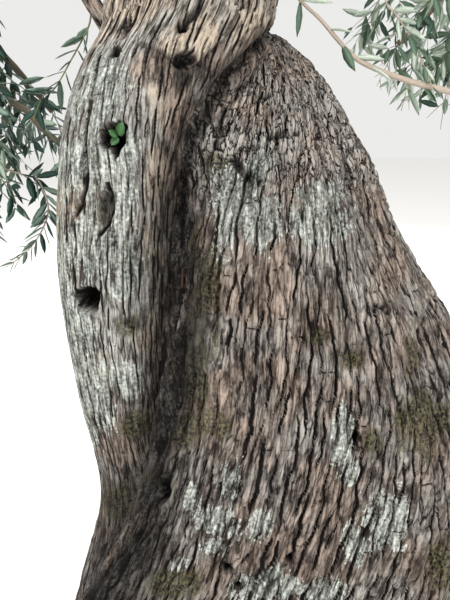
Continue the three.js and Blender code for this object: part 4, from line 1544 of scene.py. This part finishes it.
@dataclass(frozen=True)
class LeafShape:
    """A leaf one long: rows at places along it, with half widths as shares of its whole width."""

    rows: tuple[tuple[float, float], ...]
    fold: float = 0.03
    droop: float = 0.12
    thick: float = 0.006

    def corners(self) -> Array:
        """Its corners: the base, the tip, then each row's right, top, left and under corner."""
        points = [(0, 0, 0), (1, 0, -self.droop)]
        for along, half in self.rows:
            sag = -self.droop * along**2
            points += [(along, -half, sag), (along, 0, sag - self.fold), (along, half, sag),
                       (along, 0, sag - self.fold - self.thick)]
        return np.array(points, float)

    def faces(self) -> tuple[Array, Array]:
        """Its triangles, and which of them are on the under side."""
        upper, under = [], []
        first = 2
        upper += [(0, first, first + 1), (0, first + 1, first + 2)]
        under += [(0, first + 3, first), (0, first + 2, first + 3)]
        for row in range(len(self.rows) - 1):
            a = 2 + 4 * row
            b = a + 4
            upper += [(a, b, b + 1), (a, b + 1, a + 1), (a + 1, b + 1, b + 2), (a + 1, b + 2, a + 2)]
            under += [(a, b + 3, b), (a, a + 3, b + 3), (a + 3, b + 2, b + 3), (a + 3, a + 2, b + 2)]
        last = 2 + 4 * (len(self.rows) - 1)
        upper += [(last, 1, last + 1), (last + 1, 1, last + 2)]
        under += [(last, last + 3, 1), (last + 3, last + 2, 1)]
        return np.array(upper + under), np.arange(2 * len(upper)) >= len(upper)


FAR_LEAF = LeafShape(rows=((0.45, 0.5),), fold=0.02)
NEAR_LEAF = LeafShape(rows=((0.16, 0.3), (0.42, 0.5), (0.74, 0.37)))
BROAD_LEAF = LeafShape(rows=((0.15, 0.36), (0.42, 0.5), (0.75, 0.36)), droop=0.1)


class Heap:
    """Many small closed shapes that make one piece."""

    def __init__(self) -> None:
        """Starts empty."""
        self.points: list[Array] = []
        self.faces: list[Array] = []
        self.tones: list[Array] = []
        self.count = 0

    def add(self, points: Array, faces: Array, tones: Array) -> None:
        """Adds shapes of one kind.

        Args:
            points: The corners of each shape.
            faces: The triangles of one shape.
            tones: The material number of each shape's faces.
        """
        shapes, corners, _ = points.shape
        first = self.count + corners * np.arange(shapes)
        self.points.append(points.reshape(-1, 3))
        self.faces.append((faces[None] + first[:, None, None]).reshape(-1, 3))
        self.tones.append(np.broadcast_to(tones, (shapes, len(faces))).ravel())
        self.count += shapes * corners

    def add_leaves(self, shape: LeafShape, leaves: Array, tones: Array) -> None:
        """Adds leaves.

        Args:
            shape: Their shape.
            leaves: One row each: where it starts, its way, the way up from its face, length and width.
            tones: The tone of each.
        """
        start, along, up = leaves[:, 0:3], leaves[:, 3:6], leaves[:, 6:9]
        long, wide = leaves[:, 9], leaves[:, 10]
        across = np.cross(up, along)
        x, y, z = shape.corners().T
        points = start[:, None] + along[:, None] * (x * long[:, None])[..., None]
        points = points + across[:, None] * (y * wide[:, None])[..., None]
        points = points + up[:, None] * (z * long[:, None])[..., None]
        faces, under = shape.faces()
        self.add(points, faces, tones[:, None] * 2 + under)

    def add_tubes(self, lines: Array, radii: Array, tone: Array | int, sides: int = 3) -> None:
        """Adds closed tapering tubes.

        Args:
            lines: The points along each tube's middle.
            radii: The tube's radius at each point.
            tone: The material number of each tube.
            sides: How many sides a tube has.
        """
        count, rings, _ = lines.shape
        heading = unit(np.gradient(lines, axis=1))
        level = np.cross([0, 0, 1.0], lines[:, -1] - lines[:, 0])
        level = np.where(np.linalg.norm(level, axis=-1, keepdims=True) < 1e-4, [1.0, 0, 0], level)
        side, other = square_to(heading, np.broadcast_to(unit(level)[:, None], heading.shape))
        angle = 2 * math.pi * np.arange(sides) / sides
        ring = side[:, :, None] * np.cos(angle)[:, None] + other[:, :, None] * np.sin(angle)[:, None]
        ring = lines[:, :, None] + ring * radii[:, :, None, None]
        points = np.concatenate([lines[:, :1], lines[:, -1:], ring.reshape(count, -1, 3)], axis=1)
        self.add(points, tube_faces(rings, sides), np.broadcast_to(tone, count)[:, None])

    def piece(self, name: str, materials: list[bpy.types.Material], nodes: Iterable[str], slot: str
              ) -> bpy.types.Object:
        """Makes the piece.

        Args:
            name: Its name.
            materials: Its materials, in the order of their numbers.
            nodes: The solids that it stands for.
            slot: Not used.

        Returns:
            The piece.
        """
        points, faces = np.concatenate(self.points), np.concatenate(self.faces)
        mesh = bpy.data.meshes.new(name)
        mesh.vertices.add(len(points))
        mesh.vertices.foreach_set("co", points.astype(np.float32).ravel())
        mesh.loops.add(faces.size)
        mesh.loops.foreach_set("vertex_index", faces.astype(np.int32).ravel())
        mesh.polygons.add(len(faces))
        mesh.polygons.foreach_set("loop_start", np.arange(len(faces), dtype=np.int32) * 3)
        for material in materials:
            mesh.materials.append(material)
        mesh.polygons.foreach_set("material_index", np.concatenate(self.tones).astype(np.int32))
        mesh.update(calc_edges=True)
        made = bpy.data.objects.new(name, mesh)
        bpy.context.scene.collection.objects.link(made)
        return settle(made, nodes)


def tube_faces(rings: int, sides: int) -> Array:
    """The triangles of a closed tube: its first and last point, then its rings."""
    faces = []
    last = 2 + (rings - 1) * sides
    for side in range(sides):
        after = (side + 1) % sides
        faces += [(0, 2 + after, 2 + side), (1, last + side, last + after)]
        for ring in range(rings - 1):
            a, b = 2 + ring * sides + side, 2 + ring * sides + after
            faces += [(a, b, b + sides), (a, b + sides, a + sides)]
    return np.array(faces)


class Space:
    """Where a mass of foliage may grow: its own share of the crown, clear of the wood."""

    GAP = 0.004

    def __init__(self, plan: Plan, mass: Mass) -> None:
        """Gathers the other masses, and the balls of wood within the mass's reach."""
        self.mass = mass
        self.others = [other for other in plan.masses if other is not mass]
        balls = [limb.balls() for limb in plan.all_limbs()]
        centres = np.concatenate([centre for centre, _ in balls])
        reaches = np.concatenate([reach for _, reach in balls])
        near = np.linalg.norm(centres - mass.at, axis=-1) < max(mass.size) + reaches + 0.1
        self.centres, self.reaches = centres[near], reaches[near]
        self.low = mass.at[2] - mass.size[1] < 1.9

    @staticmethod
    def power(mass: Mass, points: Array) -> Array:
        """A mass's hold on points: the less, the stronger."""
        return np.sum((points - mass.at) ** 2, axis=-1) - mass.size[0] ** 2

    def allows(self, points: Array, space: float, wood: float) -> Array:
        """Which points may be grown to.

        Args:
            points: The points.
            space: How far they must stay inside the border with the other masses.
            wood: How far they must stay clear of the wood.

        Returns:
            True for each point that is free.
        """
        wide, tall = self.mass.size
        free = np.linalg.norm((points - self.mass.at) / np.array([wide, wide, tall]), axis=-1) <= 1
        own = self.power(self.mass, points)
        for other in self.others:
            apart = np.linalg.norm(other.at - self.mass.at)
            free &= (self.power(other, points) - own) / (2 * apart) > space + self.GAP
        for centre, reach in zip(self.centres, self.reaches):
            free &= np.linalg.norm(points - centre, axis=-1) > reach + wood
        if self.low:
            for strand in STRANDS:
                free &= strand.distance(points) > wood
        return free


@dataclass(frozen=True)
class Rule:
    """How a mass of foliage grows, as in the solids: lengths in metres, or as shares of its reach."""

    climb: tuple[float, float] = (0.45, 0.35)
    sag: float = 0.9
    droop: float = 0.14
    stem_reach: float = 0.66
    stem_bend: float = 0.45
    stem_girth: float = 0.82
    shoots: int = 7
    spread: tuple[float, float] = (0.86, -0.5)
    turn_vary: float = 0.6
    take_off: tuple[float, float] = (0.1, 0.88)
    slant: float = 0.7
    shoot_reach: tuple[float, float] = (0.52, 0.68)
    shoot_radius: tuple[float, float] = (0.012, 0.008)
    bow: float = 0.14
    spray_places: tuple[float, ...] = (0.3, 0.61, 0.97)
    spray_lean: tuple[float, float] = (0.5, 0.95)
    tip_lean: float = 0.06
    spray_droop: float = 0.6
    spray_length: tuple[float, float] = (0.56, 0.68)
    spray_width: float = 0.38
    shorter: tuple[float, ...] = (1, 0.82, 0.66, 0.5)
    lead: float = 0.0003


@dataclass(frozen=True)
class Twigs:
    """How a spray goes on into twigs and leaves: lengths in metres."""

    side_twigs: int = 10
    side_length: float = 0.42
    side_lean: tuple[float, float] = (0.6, 0.95)
    bare: float = 0.02
    spacing: float = 0.021
    leaf: tuple[float, float] = (0.052, 0.078)
    leaf_width: float = 0.21
    leaf_lean: tuple[float, float] = (0.6, 1.05)
    radius: tuple[float, float] = (0.0035, 0.0012)


@dataclass
class Growth:
    """One mass of foliage as it grows: its stem, shoots, sprays, twigs and leaves."""

    mass: Mass
    space: Space
    rule: Rule
    twigs: Twigs
    leaves: Heap
    wood: Heap
    shape: LeafShape = FAR_LEAF
    tones: tuple[int, ...] = (0, 1, 2)

    def __post_init__(self) -> None:
        """Starts the mass's own runs of numbers."""
        self.chance = Chance(self.mass.seed)
        self.random = np.random.default_rng(self.mass.seed)
        limb = self.mass.limb
        onward = unit(self.mass.at - limb.line(1.0))
        slope, share = self.rule.climb
        onward[2] = mix(onward[2], slope, share) - self.mass.droop * self.rule.sag
        self.axis = unit(onward)

    def grow(self) -> None:
        """Grows the whole mass."""
        stem = self.stem()
        radii = self.mass.limb.tip * self.rule.stem_girth, self.rule.shoot_radius[1]
        self.add_tube(stem, radii, 14, 6)
        for index in range(self.rule.shoots):
            start, middle, end = self.shoot(stem, index)
            line = self.fitting(start, middle, end)
            if line:
                self.add_tube(line, self.rule.shoot_radius, 10, 5)
                self.add_sprays(line)
        self.add_sprays(stem)

    def add_tube(self, line: Line, radii: tuple[float, float], rings: int, sides: int) -> None:
        """Adds the wood along a line."""
        share = np.linspace(0, 1, rings)
        points = line(share)
        points[1:-1] += 0.3 * radii[0] * self.random.standard_normal((rings - 2, 3))
        self.wood.add_tubes(points[None], mix(*radii, share)[None], 0, sides)

    def stem(self) -> Line:
        """The mass's stem, onward from the tip of its limb."""
        limb, rule = self.mass.limb, self.rule
        start = limb.line(1.0)
        heading = heading_of(limb.line, 1.0)
        end = self.mass.at + self.axis * rule.stem_reach * self.mass.reach_along(self.axis)
        middle = start + heading * np.linalg.norm(end - start) * rule.stem_bend
        return bent_line(start + heading * rule.lead, middle, end)

    def shoot(self, stem: Line, index: int) -> tuple[Array, Array, Array]:
        """The start, middle and end that a shoot aims for."""
        rule = self.rule
        lean = math.acos(mix(*rule.spread, (index + 0.5) / rule.shoots))
        turn = self.chance.about(index * GOLDEN_ANGLE, rule.turn_vary)
        out = lean_from(self.axis, lean, turn)
        rim = self.mass.at + out * self.mass.reach_along(out) * self.chance.between(rule.shoot_reach)
        base, end = stem(0.0), stem(1.0)
        offset = rim - base
        along = float(offset @ self.axis)
        aside = math.sqrt(max(float(offset @ offset) - along**2, 0))
        share = np.clip((along - rule.slant * aside) / np.linalg.norm(base - end), *rule.take_off)
        start = stem(share)
        span = np.linalg.norm(start - rim)
        middle = (start + rim) / 2 + self.axis * rule.bow * span
        middle[2] += 0.5 * rule.droop * span
        rim[2] -= 0.5 * rule.droop * span
        return start, middle, rim

    def fitting(self, start: Array, middle: Array, end: Array) -> Line | None:
        """The longest line of a shoot that fits, if one does."""
        radius = self.rule.shoot_radius[0]
        for shorter in self.rule.shorter:
            line = bent_line(start, mix(start, middle, shorter), mix(start, end, shorter))
            if self.space.allows(line(np.linspace(0.25, 1, 9)), radius, radius + 0.012).all():
                return line
        return None

    def add_sprays(self, line: Line) -> None:
        """Adds the sprays of a stem or shoot."""
        rule = self.rule
        first = 6 * self.chance.next()
        last = len(rule.spray_places) - 1
        for index, share in enumerate(rule.spray_places):
            lean = rule.tip_lean if index == last else self.chance.between(rule.spray_lean)
            heading = heading_of(line, share)
            direction = lean_from(heading, lean, first + index * GOLDEN_ANGLE)
            across = unit(np.cross(heading, direction))
            direction[2] -= self.mass.droop * rule.spray_droop
            direction = unit(direction)
            length = self.mass.size[0] * self.chance.between(rule.spray_length)
            wide, thick = square_to(direction, across)
            for shorter in rule.shorter:
                if self.blade_fits(line(share), direction, wide, length * shorter):
                    self.add_spray(line(share), direction, wide, thick, length * shorter)
                    break

    def blade_fits(self, root: Array, direction: Array, wide: Array, span: float) -> bool:
        """Whether a spray's outline is free."""
        share = np.array([0.3, 0.5, 0.75, 1])[:, None, None]
        side = np.array([-1, 0, 1])[None, :, None]
        spread = span * self.rule.spray_width / 2 * (1 - np.abs(share - 0.5) * 2)
        return bool(self.space.allows(root + direction * span * share + wide * side * spread, 0, 0.02).all())

    def add_spray(self, root: Array, direction: Array, wide: Array, thick: Array, span: float) -> None:
        """Adds a spray: a main twig with side twigs to both sides, and their leaves."""
        twigs, random = self.twigs, self.random
        tone = int(random.choice(self.tones))
        sag = np.array([0, 0, -0.12 * span])
        middle = root + direction * span * 0.5 + thick * 0.04 * span
        main = bent_line(root, middle, root + direction * span + sag)
        self.add_twig(main, span, tone, 7)
        share = (np.arange(twigs.side_twigs) + random.uniform(0.2, 0.8, twigs.side_twigs)) / twigs.side_twigs
        for index, place in enumerate(0.06 + 0.86 * share):
            lean = random.uniform(*twigs.side_lean)
            turn = (index % 2) * math.pi + random.uniform(-0.9, 0.9)
            off = wide * math.cos(turn) + thick * math.sin(turn)
            heading = unit(heading_of(main, place) * math.cos(lean) + off * math.sin(lean))
            length = twigs.side_length * span * (1 - 0.55 * place) * random.uniform(0.75, 1.2)
            start = main(place)
            droop = np.array([0, 0, -0.15 * length])
            side = bent_line(start, start + heading * length * 0.5, start + heading * length + droop)
            if self.space.allows(side(1.0), 0, 0.01):
                self.add_twig(side, length, tone, 4)

    def add_twig(self, line: Line, length: float, tone: int, rings: int) -> None:
        """Adds a twig with pairs of leaves along it."""
        twigs, random = self.twigs, self.random
        share = np.linspace(0, 1, rings)
        thick = min(1.0, 0.35 + length * 1.6)
        self.wood.add_tubes(line(share)[None], mix(*twigs.radius, share)[None] * thick, 1)
        pairs = max(int((length - twigs.bare) / twigs.spacing), 1)
        place = np.linspace(twigs.bare / length, 0.985, pairs) if pairs > 1 else np.array([0.9])
        leaves = leaf_pairs(line, place, twigs, random)
        middle = leaves[:, 0:3] + leaves[:, 3:6] * leaves[:, 9:10] * 0.5
        end = leaves[:, 0:3] + leaves[:, 3:6] * leaves[:, 9:10]
        free = self.space.allows(middle, 0, 0.008) & self.space.allows(end, 0, 0.008)
        free &= random.uniform(0, 1, len(leaves)) > 0.06
        leaves = leaves[free]
        tones = np.clip(tone + (random.uniform(0, 1, len(leaves)) < 0.15), 0, 2)
        if len(leaves):
            self.leaves.add_leaves(self.shape, leaves, tones)


def leaf_pairs(line: Line, place: Array, twigs: Twigs, random: np.random.Generator) -> Array:
    """Opposite leaves along a twig, each pair turned from the one before.

    Args:
        line: The twig's line.
        place: The shares of it with a pair.
        twigs: How leaves grow.
        random: The run of numbers.

    Returns:
        One row for each leaf: where it starts, its way, the way up from its face, length and width.
    """
    count = len(place)
    start, heading = line(place), heading_of(line, place)
    side, other = square_to(heading, np.broadcast_to(np.array([0.02, 0.01, 1.0]), heading.shape))
    turn = np.arange(count) * (math.pi / 2) + 0.7 + random.uniform(-0.5, 0.5, count)
    rows = []
    for half in (0, math.pi):
        lean = random.uniform(*twigs.leaf_lean, count) * (1 - 0.45 * place**6)
        angle = turn + half
        off = side * np.cos(angle)[:, None] + other * np.sin(angle)[:, None]
        along = unit(heading * np.cos(lean)[:, None] + off * np.sin(lean)[:, None])
        face = np.array([0, 0, 0.9]) + heading * 0.6 + 0.45 * random.standard_normal((count, 3))
        up = unit(face - along * np.sum(face * along, axis=-1, keepdims=True))
        long = random.uniform(*twigs.leaf, count) * (1 - 0.35 * place**5)
        wide = long * twigs.leaf_width * random.uniform(0.85, 1.15, count)
        rows.append(np.concatenate([start, along, up, long[:, None], wide[:, None]], axis=-1))
    return np.concatenate(rows)


@dataclass
class Crown:
    """The foliage: each bough's masses as one piece of leaves and one of twigs."""

    plan: Plan
    leaf_materials: list[bpy.types.Material]
    twig_materials: list[bpy.types.Material]
    rule: Rule = Rule()
    twigs: Twigs = Twigs()
    groups: tuple[str, ...] = ("right", "rear_left", "rear", "left", "front", "top")

    def build(self) -> None:
        """Grows every mass but the low ones, and makes the pieces."""
        rest = [mass for mass in self.plan.masses if not mass.name.startswith("foliage_low")]
        for group in self.groups:
            members = [mass for mass in rest if mass.name.startswith(f"foliage_{group}")]
            rest = [mass for mass in rest if mass not in members]
            leaves, wood = Heap(), Heap()
            for mass in members:
                Growth(mass, Space(self.plan, mass), self.rule, self.twigs, leaves, wood).grow()
            names = [mass.name for mass in members]
            leaves.piece(f"leaves_{group}", self.leaf_materials, names, "foliage")
            wood.piece(f"twigs_{group}", self.twig_materials, names, "bark")


@dataclass(frozen=True)
class Hanger:
    """A leafy twig that is seen beside the trunk: its pixels, its depths and how it is made."""

    limb: str
    share: float
    pixels: tuple[tuple[float, float], ...]
    depths: tuple[float, float]
    tone: int
    wood: int = 1
    radius: tuple[float, float] = (0.003, 0.0012)
    leafy: tuple[float, float] = (0.1, 1.0)
    spacing: float = 0.022


HANGERS = (
    Hanger("branch_low_left", 0.3, ((88, 28), (70, 62), (55, 88), (42, 98), (30, 130)), (0.13, 0.06),
           tone=0, spacing=0.02),
    Hanger("branch_low_left", 0.95, ((-40, -20), (-40, 110), (-8, 160), (24, 175), (38, 180), (48, 205),
                                     (44, 226), (30, 248), (10, 265)),
           (0.14, 0.1), tone=0, wood=2, radius=(0.004, 0.0016), leafy=(0.4, 1.0), spacing=0.026),
    Hanger("branch_low_right", 0.35,
           ((284, -24), (300, 0), (320, 19), (338, 40), (354, 57), (376, 69), (412, 82), (452, 92)),
           (0.0, 0.06), tone=2, wood=2, radius=(0.0012, 0.0085), leafy=(0.2, 1.0), spacing=0.045),
    Hanger("branch_low_right", 0.6, ((385, -10), (395, 13), (405, 28), (416, 47), (432, 86)), (0.06, 0.04),
           tone=2, wood=2, leafy=(0.05, 1.0), spacing=0.026),
)
# The two dead twigs in the cleft, and the leaves of the sprout in the hollow: pixels and depths
DEAD_TWIGS = (
    ((183, 268, -0.23), (182, 290, -0.225), (181, 306, -0.22)),
    ((184, 294, -0.235), (186, 308, -0.235), (189, 321, -0.24)),
)
SPROUT = ((118, 136, 122, 122), (118, 137, 109, 130), (118, 137, 111, 145))
SPROUT_DEPTH = -0.29


@dataclass
class Details:
    """What is seen close to the trunk: the low masses, the hanging twigs, a sprout and dead twigs."""

    KNEE_LIFT = np.array([0, 0, 0.02])

    plan: Plan
    eye: Eye
    leaf_materials: list[bpy.types.Material]
    twig_materials: list[bpy.types.Material]
    rule: Rule = Rule()
    twigs: Twigs = Twigs(side_twigs=6, spacing=0.021, leaf=(0.058, 0.082), leaf_width=0.26)

    def build(self) -> None:
        """Makes the pieces."""
        for side, tones in (("left", (0, 0, 1)), ("right", (1, 2, 2))):
            mass = next(mass for mass in self.plan.masses if mass.name == f"foliage_low_{side}")
            leaves, wood = Heap(), Heap()
            Growth(mass, Space(self.plan, mass), self.rule, self.twigs, leaves, wood, NEAR_LEAF, tones).grow()
            if side == "left":
                self.fill_hollows(leaves, wood)
            for index, hanger in enumerate(HANGERS):
                if hanger.limb.endswith(side):
                    self.hang(hanger, mass.limb, leaves, wood, np.random.default_rng(500 + index))
            leaves.piece(f"leaves_low_{side}", self.leaf_materials, [mass.name], "foliage")
            wood.piece(f"twigs_low_{side}", self.twig_materials, [mass.name], "bark")

    def fill_hollows(self, leaves: Heap, wood: Heap) -> None:
        """Adds the sprout in the hollow, and the dead twigs in the cleft."""
        eye = self.eye
        for pixels in DEAD_TWIGS:
            line = np.array([eye.at_depth(*pixel) for pixel in pixels])
            wood.add_tubes(line[None], np.array([[0.0028, 0.0026, 0.0016]]), 3, 5)
        rows = []
        for x, y, tip_x, tip_y in SPROUT:
            start, tip = eye.at_depth(x, y, SPROUT_DEPTH), eye.at_depth(tip_x, tip_y, SPROUT_DEPTH - 0.012)
            along = unit(tip - start)
            towards = -eye.axes()[2] + np.array([0, 0, 0.5])
            up = unit(towards - along * (towards @ along))
            long = np.linalg.norm(tip - start)
            rows.append([*start, *along, *up, long, 0.8 * long])
        leaves.add_leaves(BROAD_LEAF, np.array(rows), np.full(len(rows), SPROUT_TONE))

    def hang(self, hanger: Hanger, limb: Limb, leaves: Heap, wood: Heap, random: np.random.Generator) -> None:
        """Adds one hanging twig, from its limb through its pixels."""
        depths = np.linspace(*hanger.depths, len(hanger.pixels))
        seen = [self.eye.at_depth(x, y, depth) for (x, y), depth in zip(hanger.pixels, depths)]
        root = limb.line(hanger.share)
        knee = (root + seen[0]) / 2 + self.KNEE_LIFT
        stations = np.array([root, knee, *seen])

        def line(share: Array | float) -> Array:
            """The point at a share of the twig."""
            return through(stations, np.asarray(share, float) * (len(stations) - 1))

        share = np.linspace(0, 1, 6 * len(stations))
        wood.add_tubes(line(share)[None], mix(*hanger.radius, share)[None], hanger.wood, 6)
        seen_length = float(np.linalg.norm(np.diff(np.array(seen), axis=0), axis=-1).sum())
        first = 1.5 / (len(stations) - 1)
        low, high = (first + (1 - first) * end for end in hanger.leafy)
        count = int(seen_length * (hanger.leafy[1] - hanger.leafy[0]) / hanger.spacing)
        rows = leaf_pairs(line, np.linspace(low, high, count), self.twigs, random)
        rows = rows[random.uniform(0, 1, len(rows)) > 0.08]
        leaves.add_leaves(NEAR_LEAF, rows, np.full(len(rows), hanger.tone))


@dataclass
class Studio:
    """The floor, the lights and the camera."""

    eye: Eye
    floor_colour: Colour = (250, 249, 247)
    sky: Colour = (247, 247, 245)
    sky_strength: float = 0.9
    # Each light: its place, what it points at, its size and its power
    lights: tuple[tuple[Place, Place, float, float], ...] = (
        ((-2.0, -2.6, 3.4), (-0.3, 0.0, 1.5), 0.7, 92.0),
        ((3.8, -4.0, 2.6), (-0.2, 0.0, 1.0), 2.2, 80.0),
        ((-2.0, -3.5, 9.5), (0.0, 0.0, 3.4), 5.0, 900.0),
        ((1.5, 6.0, 5.0), (0.0, 0.0, 2.0), 4.0, 350.0),
    )

    def build(self) -> None:
        """Makes the studio."""
        bpy.ops.mesh.primitive_plane_add(size=60, location=(0, 0, 0))
        floor = bpy.context.object
        floor.name = "floor"
        floor.data.materials.append(PlainFinish("floor", self.floor_colour, 0.9, 0.1).material())
        world = bpy.data.worlds.new("sky")
        bpy.context.scene.world = world
        world.use_nodes = True
        background = world.node_tree.nodes["Background"]
        background.inputs["Color"].default_value = tint(self.sky)
        background.inputs["Strength"].default_value = self.sky_strength
        for place, target, size, power in self.lights:
            turn = (Vector(target) - Vector(place)).to_track_quat("-Z", "Y").to_euler()
            bpy.ops.object.light_add(type="AREA", location=place, rotation=turn)
            light = bpy.context.object.data
            light.size = size
            light.energy = power
        bpy.context.scene.view_settings.view_transform = "Standard"
        self.eye.camera()


def write_size() -> None:
    """Brings the view layer up to date."""
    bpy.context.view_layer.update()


def main() -> None:
    """Builds the tree and its studio, in order."""
    logging.basicConfig(level=logging.INFO, format="%(message)s")
    eye = Eye()
    plan = Plan()
    bark = BarkFinish().material()
    Wood(plan, eye, bark).build()
    log.info("the wood is done")
    leaf_materials = [finish.material() for finish in LEAF_FINISHES]
    twig_materials = [finish.material() for finish in TWIG_FINISHES]
    Crown(plan, leaf_materials, twig_materials).build()
    Details(plan, eye, leaf_materials, twig_materials).build()
    log.info("the foliage is done")
    Studio(eye).build()
    write_size()


if __name__ == "__main__":
    main()
